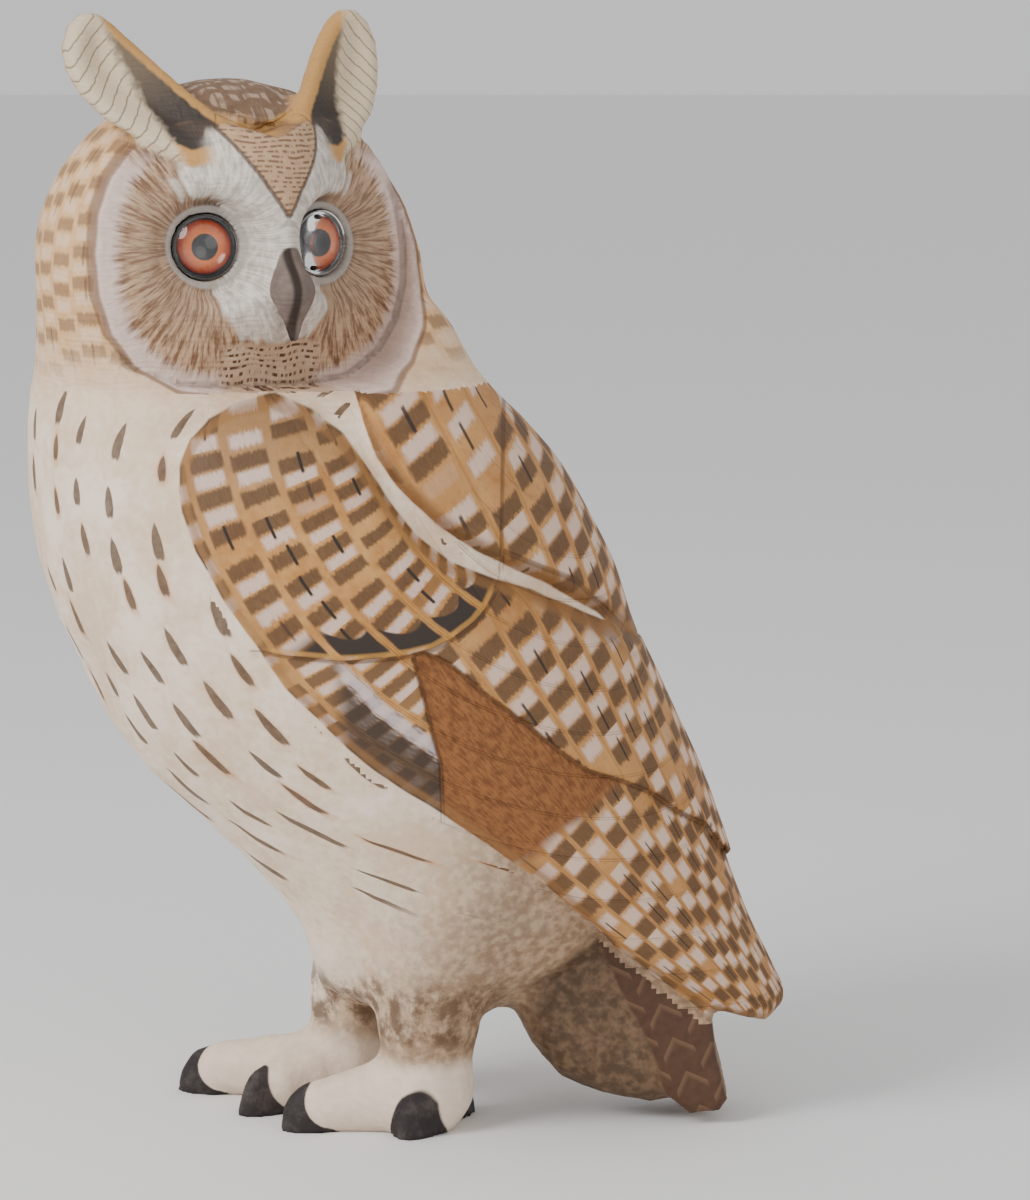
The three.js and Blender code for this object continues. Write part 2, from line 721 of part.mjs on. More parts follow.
function domeProfile(radius, bulge, seat) {
  const rings = 5;
  const sphere = (radius * radius + bulge * bulge) / (2 * bulge);
  const reach = Math.asin(radius / sphere);
  const profile = [[0, -seat], [radius - 0.6, -seat], [radius, -seat + 0.6]];
  for (let i = 0; i < rings; i += 1) {
    const angle = reach * (1 - i / rings);
    profile.push([sphere * sin(angle), sphere * cos(angle) - sphere + bulge]);
  }
  profile.push([0, bulge]);
  return profile;
}

const wasm = await Module();
wasm.setup();

function solid({ vertices, triangles }) {
  const mesh = new wasm.Mesh({
    numProp: 3,
    vertProperties: Float32Array.from(vertices),
    triVerts: Uint32Array.from(triangles),
  });
  return new wasm.Manifold(mesh);
}

function piece(name, { vertices, triangles }, material) {
  const geometry = new THREE.BufferGeometry();
  geometry.setAttribute("position", new THREE.Float32BufferAttribute(vertices, 3));
  geometry.setIndex(new THREE.Uint32BufferAttribute(triangles, 1));
  geometry.translate(0, -FEET_AHEAD, 0);
  geometry.computeVertexNormals();
  const object = new THREE.Mesh(geometry, material);
  object.name = name;
  return object;
}

const carved = thin(meshField(owl, [-70, -90, -3.1], [70, 124, 290], GRID_STEP), CARVED_TRIANGLES);
const socketRadius = EYE_RADIUS + EYE_GAP;
const socketDepth = EYE_SEAT + EYE_GAP;
const socket = turned([
  [0, -socketDepth],
  [socketRadius, -socketDepth],
  [socketRadius, EYE_BULGE * 2],
  [0, EYE_BULGE * 2],
]);
const eye = turned(domeProfile(EYE_RADIUS, EYE_BULGE, EYE_SEAT));
const cut = solid(carved)
  .subtract(solid(setInHead(socket, -1)))
  .subtract(solid(setInHead(socket, 1)))
  .getMesh();
// A last thinning takes out the specks that the sockets' cuts leave, and the soles are made level
const wood = thin({ vertices: cut.vertProperties, triangles: cut.triVerts }, WOOD_TRIANGLES);
for (let i = 2; i < wood.vertices.length; i += 3) {
  if (wood.vertices[i] < LEVEL) wood.vertices[i] = 0;
}

const paintedWood = new THREE.MeshStandardMaterial({ color: WOOD_COLOUR, roughness: 0.65, metalness: 0 });
const glass = new THREE.MeshStandardMaterial({ color: GLASS_COLOUR, roughness: 0.08, metalness: 0 });

const owlFigure = new THREE.Group();
owlFigure.name = "owl";
owlFigure.add(piece("owl_body", wood, paintedWood));
owlFigure.add(piece("eye_left", setInHead(eye, 1), glass));
owlFigure.add(piece("eye_right", setInHead(eye, -1), glass));
export default owlFigure;
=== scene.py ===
import math

import bpy
import numpy as np
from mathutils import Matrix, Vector


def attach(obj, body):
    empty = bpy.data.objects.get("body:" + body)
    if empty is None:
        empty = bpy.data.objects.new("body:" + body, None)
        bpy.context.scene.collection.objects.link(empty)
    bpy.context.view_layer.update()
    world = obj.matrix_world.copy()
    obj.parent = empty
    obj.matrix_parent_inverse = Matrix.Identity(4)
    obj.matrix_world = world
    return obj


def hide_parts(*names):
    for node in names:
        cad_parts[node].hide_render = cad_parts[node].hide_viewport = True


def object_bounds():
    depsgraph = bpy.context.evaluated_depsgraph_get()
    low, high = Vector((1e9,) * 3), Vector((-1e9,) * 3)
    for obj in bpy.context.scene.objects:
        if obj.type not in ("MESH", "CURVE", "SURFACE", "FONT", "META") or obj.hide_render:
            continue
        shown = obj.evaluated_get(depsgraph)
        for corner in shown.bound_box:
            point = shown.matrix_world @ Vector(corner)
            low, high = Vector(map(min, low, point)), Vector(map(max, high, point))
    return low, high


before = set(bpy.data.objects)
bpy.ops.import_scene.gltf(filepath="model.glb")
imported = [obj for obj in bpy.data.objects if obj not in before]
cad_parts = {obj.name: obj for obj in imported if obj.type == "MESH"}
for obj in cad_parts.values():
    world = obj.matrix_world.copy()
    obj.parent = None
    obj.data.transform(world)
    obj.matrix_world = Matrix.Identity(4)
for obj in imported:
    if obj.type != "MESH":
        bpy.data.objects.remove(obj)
cad_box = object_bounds()

# Camera and frame, in millimetres. Every y in this script is measured from the point between the feet
MM = 0.001
FEET_AHEAD = 18
CAMERA_TARGET = (0, 45, 131)
CAMERA_DISTANCE = 1300
CAMERA_HEIGHT = math.radians(8)
CAMERA_LENS = 156

target = Vector((CAMERA_TARGET[0], CAMERA_TARGET[1] - FEET_AHEAD, CAMERA_TARGET[2])) * MM
towards = Vector((math.cos(CAMERA_HEIGHT), 0, math.sin(CAMERA_HEIGHT)))
camera_data = bpy.data.cameras.new("camera")
camera_data.sensor_fit = "VERTICAL"
camera_data.sensor_height = 36
camera_data.lens = CAMERA_LENS
camera_data.clip_start = 0.05
camera = bpy.data.objects.new("camera", camera_data)
camera.location = target + towards * CAMERA_DISTANCE * MM
camera.rotation_euler = towards.to_track_quat("Z", "Y").to_euler()
bpy.context.scene.collection.objects.link(camera)
bpy.context.scene.camera = camera

# Sizes of the carving, the same as in the solid
EYE_RADIUS = 8
EYE_BULGE = 3.6
EYE_SEAT = 3
LID_HEIGHT = 0.8
LID_WIDTH = 2.6
BODY_SECTIONS = [
    (27, 6, 46, 12), (33, -3, 55, 20), (40, -6, 66, 26), (52, -11, 78, 33), (65, -21.5, 84, 40),
    (78, -35, 87, 46), (90, -47.5, 87, 51), (103, -57.3, 82, 55), (116, -63.5, 76, 57.5),
    (128, -69.3, 70, 58), (141, -73.3, 65, 57.5), (154, -75.5, 58.5, 56), (166, -76.3, 51, 53),
    (176, -75.5, 43, 48), (183, -73, 38, 38), (187, -71, 35, 28), (192, -68, 32, 22),
    (200, -62, 28, 21), (208, -56, 23.5, 21), (222, -50, 20, 20), (236, -40, 14, 16),
]
WING_SECTIONS = [
    (14, 94, 118, 8), (28, 76, 116.6, 15), (40, 55, 110.8, 25), (52, 30, 104.9, 34), (65, 0, 100, 42),
    (78, -32, 95.5, 48.5), (90, -49, 91, 54), (103, -60, 85, 58), (116, -67, 79, 61),
    (128, -73, 73, 61.5), (141, -77, 68.5, 61.5), (154, -79, 62, 60.5), (166, -80, 55, 58),
    (176, -80, 46.5, 53), (183, -79, 39.5, 46), (187, -75, 36, 37), (191, -68, 33, 27),
    (200, -60, 28, 21), (208, -50, 23, 19),
]
WING_OUTLINE = [
    (-3.9, 183.3), (-13.7, 186.2), (-22.2, 184.6), (-28.9, 181.3), (-33.2, 176.6), (-35.4, 170.6),
    (-35.4, 165.2), (-34.9, 159.8), (-31.5, 150.2), (-24.3, 137.4), (-17, 127.6), (-10.4, 117.6),
    (-1.8, 109.2), (5, 102), (12.2, 96.1), (20, 90.5), (27.5, 85.5), (40.5, 75.4), (52.7, 65.5),
    (62.8, 55.3), (69.8, 47.1), (81.1, 37.6), (92.5, 28.8), (107.9, 24.3), (111.9, 26.8), (125, 30),
    (125, 140), (76, 127), (66.2, 129.4), (58.3, 134.1), (49.5, 139), (40.6, 142.5),
    (29.8, 147.5), (21.2, 154.3), (14.6, 163.1), (9.3, 170.6), (3.8, 177.9),
]
COVERTS_OUTLINE = [
    (-45, 126.5), (-13, 126.5), (-7, 126), (4, 125), (12.4, 125.4), (19.6, 126.2), (25.5, 127.4),
    (30.8, 130.2), (35.3, 133.3), (38.4, 137), (41.3, 143), (42, 200), (-45, 200),
]
SECONDARIES_OUTLINE = [
    (-45, 135), (20, 135), (20.5, 125.4), (22.6, 117.6), (25.4, 105.1), (27.1, 98.3), (27.5, 75),
    (0, 75), (-45, 100),
]
TERTIALS_OUTLINE = [
    (20, 130), (24, 126.5), (29.8, 123.4), (38.4, 115.7), (47.3, 108.5), (56, 100.7), (62.6, 95.4),
    (70.5, 92.2), (78.5, 87.9), (85.3, 82), (92.4, 77), (98.2, 67.7), (125, 60), (125, 121.7),
    (75, 121.7), (60, 140), (30, 155), (22, 145),
]
MANTLE_OUTLINE = [
    (-12, 200), (6, 186), (11.4, 172.6), (16.7, 165.1), (25.5, 156.3), (36.2, 148.7), (52.6, 140),
    (65, 131.2), (74.9, 121.2), (125, 121.2), (125, 240), (-20, 240),
]
UNDERTAIL_OUTLINE = [
    (41.5, 36), (42.5, 31.5), (45, 26.3), (48.8, 18.6), (56.4, 10.3), (66.5, 5.6), (79.2, 3.6),
    (86, 5), (90, 30), (80, 60), (40, 60),
]
TAIL_OUTLINE = [
    (60, 60), (65, 49), (71, 35.5), (79, 20.4), (82.5, 7.6), (88.8, 2.6), (96.3, 3.2), (98.6, 6.5),
    (95.8, 17.3), (94, 30), (98, 60), (80, 80),
]
COVERTS_RAISE = 0.9
SECONDARIES_RAISE = -0.3
PRIMARIES_RAISE = -1.1
TERTIALS_RAISE = 0.4
MANTLE_RAISE = 1
FEATHER_STEP = 1.6
TAIL_HALF_WIDTH = 17
UNDERTAIL_HALF_WIDTH = 15
HEAD_CENTRE = (0, -27, 215)
HEAD_TURN = math.radians(28)
HEAD_FRONT, HEAD_BACK, HEAD_ACROSS, HEAD_HIGH = 33, 45, 47.5, 46
EYE_AHEAD, EYE_SIDE, EYE_UP, EYE_SPLAY = 21.2, 15.2, 6.2, math.radians(15)
THROAT_CENTRE, THROAT_RADII = (0, -41, 190), (31, 31.5, 33)
CUT_DEEP, CUT_WIDE, CUT_NARROW = 2.6, 5, -1.5
FACE_RIM, FACE_DOME, FACE_TILT = 17, 11, 0.08
DISC_OUTLINE = [
    (-20, -29.5), (12, -29.8), (23.5, -28.4), (33, -22.6), (38.8, -14.6), (41.8, -5), (42.2, 5),
    (40.8, 15), (37.5, 23), (32.3, 29.6), (26, 34), (18, 36.5), (10.8, 36.5), (0, 33), (-20, 30),
]
EAR_OUTLINE = [
    (8, 30), (9, 35), (11, 38.2), (15.2, 42.9), (19.8, 48.4), (25.5, 55.2), (29.5, 59.6),
    (33, 62.2), (36.5, 62.4), (39.9, 59.4), (42, 53.8), (41.6, 48.1), (39.5, 42.5), (35.3, 36.8),
    (29, 32), (20, 27),
]
EAR_THICKNESS = 6.5
EAR_HOLLOW = 3.2
TOE_NAIL = 4
TOES = [
    ((-15, 2), (-23, -34)), ((-13, 0), (0, -18)), ((-15, 2), (-29, -4)), ((-15, 4), (-18, 19)),
    ((17, 18), (18.5, -6)), ((16, 22), (23, 20)), ((15, 22), (3, 29)),
]

# Painted areas of the face, as (side, up)
WHITE_OUTLINE = [
    (-5, 13), (0, 14), (4.4, 21), (9.3, 28.4), (13.2, 35.5), (15.5, 34), (18.5, 31), (22, 28),
    (23.6, 22.5), (21.4, 18.3), (16, 18.5), (12.6, 17.3), (8.7, 10.8), (8.6, 6), (9.5, 2),
    (12, -2), (15, -4.5), (14.5, -9.5), (11, -13.5), (8, -15.6), (4, -17.3), (-5, -17.5),
]
WEDGE_OUTLINE = [
    (-8, 26), (0, 13.6), (4.4, 20.8), (9.3, 28.2), (13.2, 35.2), (11, 38.5), (5, 35.5), (0, 33.4),
    (-8, 36),
]

# Mesh steps: the grid's step in millimetres, the block of the coarse pass, and the margin inside the solid's box
GRID_STEP = 1.32
BLOCK = 6
BOX_MARGIN = 0.01


def join(a, b, k):
    h = np.maximum(k - np.abs(a - b), 0) / k
    return np.minimum(a, b) - h * h * k * 0.25


def meet(a, b, k):
    return -join(-a, -b, k)


def inside(distance, width):
    t = np.clip(0.5 - distance / width, 0, 1)
    return t * t * (3 - 2 * t)


def curve(pairs):
    keys = np.array([p[0] for p in pairs], float)
    values = np.array([p[1] for p in pairs], float)
    low = np.maximum(np.arange(len(pairs)) - 1, 0)
    high = np.minimum(np.arange(len(pairs)) + 1, len(pairs) - 1)
    slopes = (values[high] - values[low]) / (keys[high] - keys[low])

    def at(key):
        key = np.clip(key, keys[0], keys[-1])
        i = np.clip(np.searchsorted(keys, key, side="left"), 1, len(keys) - 1)
        d = keys[i] - keys[i - 1]
        t = (key - keys[i - 1]) / d
        u = 1 - t
        return (
            u * u * (1 + 2 * t) * values[i - 1]
            + t * t * (3 - 2 * t) * values[i]
            + t * u * d * (u * slopes[i - 1] - t * slopes[i])
        )

    return at


def outline(points):
    a = np.array(points, float)
    b = np.roll(a, 1, axis=0)

    def at(x, y):
        nearest = np.full(x.shape, np.inf)
        within = np.zeros(x.shape, bool)
        for (ax, ay), (bx, by) in zip(a, b):
            ex, ey = bx - ax, by - ay
            wx, wy = x - ax, y - ay
            t = np.clip((wx * ex + wy * ey) / (ex * ex + ey * ey), 0, 1)
            nearest = np.minimum(nearest, (wx - ex * t) ** 2 + (wy - ey * t) ** 2)
            over = y >= ay
            within ^= (over != (y >= by)) & (over == (ex * wy <= ey * wx))
        return np.where(within, -1, 1) * np.sqrt(nearest)

    return at


def ellipsoid(x, y, z, rx, ry, rz):
    g = np.sqrt((x / rx) ** 2 + (y / ry) ** 2 + (z / rz) ** 2)
    slope = np.sqrt((x / (rx * rx)) ** 2 + (y / (ry * ry)) ** 2 + (z / (rz * rz)) ** 2)
    smallest = -np.minimum(np.minimum(rx, ry), rz)
    return np.where(slope < 1e-6, smallest, g * (g - 1) / np.maximum(slope, 1e-6))


def bar(x, y, z, a, b, ra, rb):
    d = np.subtract(b, a).astype(float)
    px, py, pz = x - a[0], y - a[1], z - a[2]
    t = np.clip((px * d[0] + py * d[1] + pz * d[2]) / (d @ d), 0, 1)
    away = np.sqrt((px - t * d[0]) ** 2 + (py - t * d[1]) ** 2 + (pz - t * d[2]) ** 2)
    return away - (ra + (rb - ra) * t)


def stack(sections):
    front = curve([(s[0], s[1]) for s in sections])
    back = curve([(s[0], s[2]) for s in sections])
    half = curve([(s[0], s[3]) for s in sections])
    low, high = sections[0][0], sections[-1][0]

    def at(x, y, z):
        yf, yb, w = front(z), back(z), half(z)
        a = (yb - yf) / 2
        cy = y - (yf + yb) / 2
        g = np.hypot(x / w, cy / a)
        slope = np.hypot(x / (w * w), cy / (a * a))
        side = np.where(slope < 1e-6, -np.minimum(a, w), g * (g - 1) / np.maximum(slope, 1e-6))
        return meet(meet(side * 0.85, low - z, 8), z - high, 8)

    return at


def around(sections):
    """Distance round the level sections, from the side towards the back, and from the front."""
    front = curve([(s[0], s[1]) for s in sections])
    back = curve([(s[0], s[2]) for s in sections])
    half = curve([(s[0], s[3]) for s in sections])

    def at(x, y, z):
        yf, yb, w = front(z), back(z), half(z)
        a = (yb - yf) / 2
        middle = (yf + yb) / 2
        from_side = middle + a * np.arctan2((y - middle) / a, np.abs(x) / w)
        from_front = np.sqrt(a * w) * np.arctan2(x / w, (middle - y) / a)
        return from_side, from_front

    return at


body = stack(BODY_SECTIONS)
wing_hull = stack(WING_SECTIONS)
wing_edge = outline(WING_OUTLINE)
coverts_edge = outline(COVERTS_OUTLINE)
secondaries_edge = outline(SECONDARIES_OUTLINE)
tertials_edge = outline(TERTIALS_OUTLINE)
mantle_edge = outline(MANTLE_OUTLINE)
undertail_edge = outline(UNDERTAIL_OUTLINE)
tail_edge = outline(TAIL_OUTLINE)
disc_edge = outline(DISC_OUTLINE)
ear_edge = outline(EAR_OUTLINE)


def wing_raise(y, z):
    rise = np.full(y.shape, float(PRIMARIES_RAISE))
    groups = (
        (secondaries_edge, SECONDARIES_RAISE),
        (tertials_edge, TERTIALS_RAISE),
        (coverts_edge, COVERTS_RAISE),
    )
    for edge, height in groups:
        rise += (height - rise) * inside(edge(y, z), FEATHER_STEP)
    return rise


def wings(x, y, z):
    hull = wing_hull(x, y, z)
    wing = meet(hull - wing_raise(y, z), wing_edge(y, z), 7)
    mantle = meet(hull - MANTLE_RAISE, mantle_edge(y, z), 6)
    slot = np.clip((74 - z) * 0.06, 0, 2.8) - np.abs(x)
    return join(meet(wing, slot, 2), mantle, 3)


def tail(x, y, z):
    across = np.abs(x)
    under = meet(undertail_edge(y, z), across - UNDERTAIL_HALF_WIDTH, 14)
    blade = meet(tail_edge(y, z), across - TAIL_HALF_WIDTH + (y - 60) * 0.06, 2.5)
    return join(under, blade, 2)


def legs(x, y, z):
    near_thigh = bar(x, y, z, (19, 30, 62), (17, 23.5, 30), 20, 11.5)
    near_shank = bar(x, y, z, (17, 23.5, 30), (16.5, 22.5, 10), 11.5, 11.5)
    far_thigh = bar(x, y, z, (-18, 14, 62), (-15, 4, 30), 18, 10)
    far_shank = bar(x, y, z, (-15, 4, 30), (-15, 2.5, 10), 10, 10.5)
    return join(join(near_thigh, near_shank, 6), join(far_thigh, far_shank, 6), 3)


def feet(x, y, z):
    """The toes and claws, and how far the claws stand out of the toes."""
    both = np.full(x.shape, 1e3)
    toe_only = both.copy()
    claw_only = both.copy()
    for (ax, ay), (bx, by) in TOES:
        long = math.hypot(bx - ax, by - ay)
        ux, uy = (bx - ax) / long, (by - ay) / long
        px, py = x - bx, y - by
        knuckle = (bx - TOE_NAIL * ux, by - TOE_NAIL * uy, 6.5)
        toe = bar(x, y, z, (ax, ay, 9), knuckle, 10, 6.8)
        claw = ellipsoid(px * ux + py * uy, py * ux - px * uy, z + 1, 8, 5, 13)
        both = join(join(both, toe, 5), claw, 1)
        toe_only = np.minimum(toe_only, toe)
        claw_only = np.minimum(claw_only, claw)
    return both, claw_only - toe_only


def head_frame(x, y, z):
    dx, dy = x - HEAD_CENTRE[0], y - HEAD_CENTRE[1]
    c, s = math.cos(HEAD_TURN), math.sin(HEAD_TURN)
    return dx * c + dy * s, dy * c - dx * s, z - HEAD_CENTRE[2]


def eye_frame(ahead, side, up):
    dw, ds = ahead - EYE_AHEAD, np.abs(side) - EYE_SIDE
    c, s = math.cos(EYE_SPLAY), math.sin(EYE_SPLAY)
    return dw * c + ds * s, np.hypot(ds * c - dw * s, up - EYE_UP)


def skull(ahead, side, up):
    return ellipsoid(ahead, side, up, np.where(ahead > 0, HEAD_FRONT, HEAD_BACK), HEAD_ACROSS, HEAD_HIGH)


def dish(side, up):
    tall = np.where(up > 0, 52, 40)
    return FACE_RIM - FACE_TILT * up + FACE_DOME * (1 - (side / 43) ** 2 - (up / tall) ** 2)


def face(ahead, side, up):
    d = meet((ahead - dish(side, up)) * 0.85, ellipsoid(ahead, side, up, 60, 47, 60), 2)
    d = join(d, ellipsoid(ahead - 8, side, up - 21, 28.5, 25, 22), 6)
    d = join(d, bar(ahead, side, up, (32, 0, 14), (33, 0, 2), 5.2, 6), 5)
    d = join(d, ellipsoid(ahead - 21, side, up + 4, 15.5, 17, 15), 6)
    along, away = eye_frame(ahead, side, up)
    lid = EYE_RADIUS + LID_WIDTH
    d = meet(d, -np.maximum(LID_HEIGHT - along, away - lid - along * 0.25), 5)
    d = join(d, np.maximum(np.maximum(along - LID_HEIGHT, -8 - along), away - lid), 2)
    return meet(d, np.maximum(disc_edge(np.abs(side), up), 4 - ahead), 1)


def beak(ahead, side, up):
    root = bar(ahead, side, up, (36, 0, 5), (39.5, 0, -4), 2.8, 4.5)
    hook = bar(ahead, side, up, (39.5, 0, -4), (39.5, 0, -15), 4.5, 1.3)
    return join(root, hook, 4)


def ear(ahead, side, up):
    across = np.abs(side)
    edge = ear_edge(across, up)
    lean = 54 - 0.41 * across - 0.74 * up
    hollow = EAR_HOLLOW * inside(edge + 6, 8)
    front = -0.5 + (lean + np.sqrt(lean * lean + 60)) / 2 - hollow
    slab = np.maximum(ahead - front, front - EAR_THICKNESS + hollow * 0.6 - ahead) * 0.8
    return meet(slab, edge, 2)


def low_parts(d, x, y, z):
    d = join(d, tail(x, y, z), 3)
    d = join(d, legs(x, y, z), 8)
    return join(d, feet(x, y, z)[0], 5)


def high_parts(d, x, y, z):
    ahead, side, up = head_frame(x, y, z)
    d = join(d, ellipsoid(x - THROAT_CENTRE[0], y - THROAT_CENTRE[1], z - THROAT_CENTRE[2], *THROAT_RADII), 12)
    d = join(d, skull(ahead, side, up), 9)
    free = inside(-20 - up, 14) * inside(side, 24)
    rim = CUT_NARROW + (CUT_WIDE - CUT_NARROW) * free
    cleared = np.maximum(disc_edge(np.abs(side), up) - rim, dish(side, up) - CUT_DEEP - ahead)
    d = meet(d, -cleared, 4)
    d = np.minimum(d, face(ahead, side, up))
    d = join(d, beak(ahead, side, up), 0.8)
    return join(d, ear(ahead, side, up), 2.5)


def owl(x, y, z):
    d = join(body(x, y, z), wings(x, y, z), 2)
    for chosen, parts in ((z < 90, low_parts), (z > 150, high_parts)):
        if chosen.any():
            d[chosen] = parts(d[chosen], x[chosen], y[chosen], z[chosen])
    d = np.maximum(d, -z)
    # The sockets, which hold the glass with a little room round it
    ahead, side, up = head_frame(x, y, z)
    along, away = eye_frame(ahead, side, up)
    socket = np.maximum(np.maximum(-EYE_SEAT - 0.3 - along, along - 8), away - EYE_RADIUS - 0.3)
    return np.maximum(d, -socket)


def sample(field, low, high, step):
    n = [int(math.ceil((h - l) / step)) + 1 for l, h in zip(low, high)]
    n = [int(math.ceil(c / BLOCK)) * BLOCK for c in n]
    middles = [l + (np.arange(c // BLOCK) * BLOCK + (BLOCK - 1) / 2) * step for l, c in zip(low, n)]
    coarse = field(*[g.ravel() for g in np.meshgrid(*middles, indexing="ij")])
    coarse = coarse.reshape([c // BLOCK for c in n])
    values = coarse.repeat(BLOCK, 0).repeat(BLOCK, 1).repeat(BLOCK, 2)
    near = np.abs(values) <= BLOCK * step * 1.4
    at = np.nonzero(near)
    values[at] = field(*[l + i * step for l, i in zip(low, at)])
    return values


def part_sheets(values):
    """Fills one corner of each grid square where two sheets of the surface would meet along an edge."""
    filled = True
    while filled:
        filled = False
        for axis in range(3):
            v = np.moveaxis(values, axis, 0)
            corners = [v[:, :-1, :-1], v[:, 1:, 1:], v[:, 1:, :-1], v[:, :-1, 1:]]
            inner = [c < 0 for c in corners]
            same = (inner[0] == inner[1]) & (inner[2] == inner[3]) & (inner[0] != inner[2])
            for pair in ((0, 1), (2, 3)):
                open_pair = same & ~inner[pair[0]]
                first = open_pair & (corners[pair[0]] < corners[pair[1]])
                corners[pair[0]][first] = -0.01
                corners[pair[1]][open_pair & ~first] = -0.01
                filled |= bool(open_pair.any())
                inner = [c < 0 for c in corners]
                same &= (inner[0] == inner[1]) & (inner[2] == inner[3]) & (inner[0] != inner[2])


def surface(values, low, step):
    """One vertex in each crossed cell, and one quad round each crossed grid edge."""
    n = values.shape
    cells = tuple(c - 1 for c in n)
    count = np.zeros(cells, np.int8)
    total = np.zeros(cells + (3,), np.float32)
    sign = values < 0
    for axis in range(3):
        u, v = (axis + 1) % 3, (axis + 2) % 3
        lower = [slice(None)] * 3
        upper = [slice(None)] * 3
        lower[axis], upper[axis] = slice(0, -1), slice(1, None)
        a, b = values[tuple(lower)], values[tuple(upper)]
        crossed = sign[tuple(lower)] != sign[tuple(upper)]
        share = np.where(crossed, a / np.where(crossed, a - b, 1), 0)
        for i in (0, 1):
            for j in (0, 1):
                part = [slice(None)] * 3
                part[u] = slice(i, n[u] - 1 + i)
                part[v] = slice(j, n[v] - 1 + j)
                hit = crossed[tuple(part)]
                count += hit
                total[..., axis] += share[tuple(part)]
                total[..., u] += hit * i
                total[..., v] += hit * j
    used = np.nonzero(count)
    number = np.full(cells, -1, np.int64)
    number[used] = np.arange(len(used[0]))
    places = np.stack(used, -1) + total[used] / count[used][:, None]
    points = np.array(low) + places * step
    quads = []
    for axis in range(3):
        u, v = (axis + 1) % 3, (axis + 2) % 3
        lower = [slice(1, -1)] * 3
        upper = [slice(1, -1)] * 3
        upper[axis] = slice(2, None)
        here = sign[tuple(lower)]
        crossed = np.argwhere(here != sign[tuple(upper)]) + 1
        step_u = np.eye(3, dtype=int)[u]
        step_v = np.eye(3, dtype=int)[v]
        ring = [crossed, crossed - step_u, crossed - step_u - step_v, crossed - step_v]
        ring = np.stack([number[tuple(r.T)] for r in ring], -1)
        flip = ~sign[tuple(crossed.T)]
        ring[flip] = ring[flip][:, ::-1]
        quads.append(ring)
    return points, np.concatenate(quads)


def gradient(field, p, reach):
    out = np.empty_like(p)
    for axis in range(3):
        step = np.zeros(3)
        step[axis] = reach
        out[:, axis] = field(*(p + step).T) - field(*(p - step).T)
    return out / (2 * reach)


def scatter(cell, seed):
    """Three random numbers from 0 to 1 for each whole-numbered cell."""
    h = np.sin(cell @ np.array([[127.1, 269.5, 419.2], [311.7, 183.3, 371.9], [74.7, 246.1, 158.3]]) + seed)
    return (h * 43758.5453) % 1


def scoops(p, size, seed):
    """Squared distance to the nearest of scattered points, which looks like the cuts of a gouge."""
    q = p / np.array(size)
    base = np.floor(q)
    nearest = np.full(len(p), 9.0)
    for i in (-1, 0, 1):
        for j in (-1, 0, 1):
            for k in (-1, 0, 1):
                cell = base + (i, j, k)
                at = cell + 0.5 + 0.8 * (scatter(cell, seed) - 0.5)
                nearest = np.minimum(nearest, ((q - at) ** 2).sum(1))
    return nearest


# The carved wood's mesh
LOW = (-67, -84, -5)
HIGH = (67, 117, 282)
points, quads = surface(sample(owl, LOW, HIGH, GRID_STEP), LOW, GRID_STEP)
for _ in range(2):
    slope = gradient(owl, points, 0.25)
    off = owl(*points.T) / np.maximum((slope * slope).sum(1), 0.25)
    points -= np.clip(off, -GRID_STEP / 2, GRID_STEP / 2)[:, None] * slope
points[:, 2] = np.maximum(points[:, 2], 0)
slope = gradient(owl, points, 0.5)
normals = slope / np.maximum(np.linalg.norm(slope, axis=1), 1e-6)[:, None]

x, y, z = points.T
ahead, side, up = head_frame(x, y, z)
across = np.abs(side)
turn, girth = around(WING_SECTIONS)(x, y, z)
on_ear = ear(ahead, side, up)
lean = 54 - 0.41 * across - 0.74 * up
measures = {
    "wing": wing_edge(y, z),
    "coverts": coverts_edge(y, z),
    "secondaries": secondaries_edge(y, z),
    "tertials": tertials_edge(y, z),
    "mantle": mantle_edge(y, z),
    "undertail": np.maximum(undertail_edge(y, z), np.abs(x) - UNDERTAIL_HALF_WIDTH - 4),
    "tail": np.maximum(tail_edge(y, z), np.abs(x) - TAIL_HALF_WIDTH - 2),
    "turn": turn,
    "girth": girth,
    "disc": np.maximum(disc_edge(across, up), 6 - ahead),
    "white": outline(WHITE_OUTLINE)(across, up),
    "wedge": outline(WEDGE_OUTLINE)(across, up),
    "ear": ear_edge(across, up),
    "on_ear": on_ear,
    "ear_front": ahead - (-0.5 + (lean + np.sqrt(lean * lean + 60)) / 2 - EAR_THICKNESS / 2 - 1),
    "beak": beak(ahead, side, up),
    "claw": np.where(z < 30, feet(x, y, z)[1], 10),
    # How near other surfaces come 1.6 mm out from the surface: the materials darken by it as painted shade in creases
    "crease_shade": (1.6 - owl(*(points + 1.6 * normals).T)) / 1.6,
}

# Gouge cuts over the whole figure, and almost none on the face and the wings
on_wing = inside(np.minimum(measures["wing"], measures["mantle"]) + 1, 3) * (z < 200)
on_face = inside(measures["disc"], 3)
smooth_parts = np.maximum(on_wing, np.maximum(on_face, inside(on_ear - 1.5, 2)))
low_on = inside(z - 40, 12)
wide_cuts = scoops(points, (10, 9, 14), 1.7) * (1 - low_on) + scoops(points, (6, 6, 8), 4.1) * low_on
depth = 0.9 * (1 - smooth_parts) + 0.12 * smooth_parts
sink = depth * np.clip(0.5 - wide_cuts, 0, 1) + 0.05
points -= normals * (sink * (z > 0.4))[:, None]

# The wood stays within the solid's own box, down to the flat soles
box_low, box_high = (np.array(corner) / MM + (0, FEET_AHEAD, 0) for corner in cad_box)
points = np.clip(points, box_low + (BOX_MARGIN, BOX_MARGIN, 0), box_high - BOX_MARGIN)

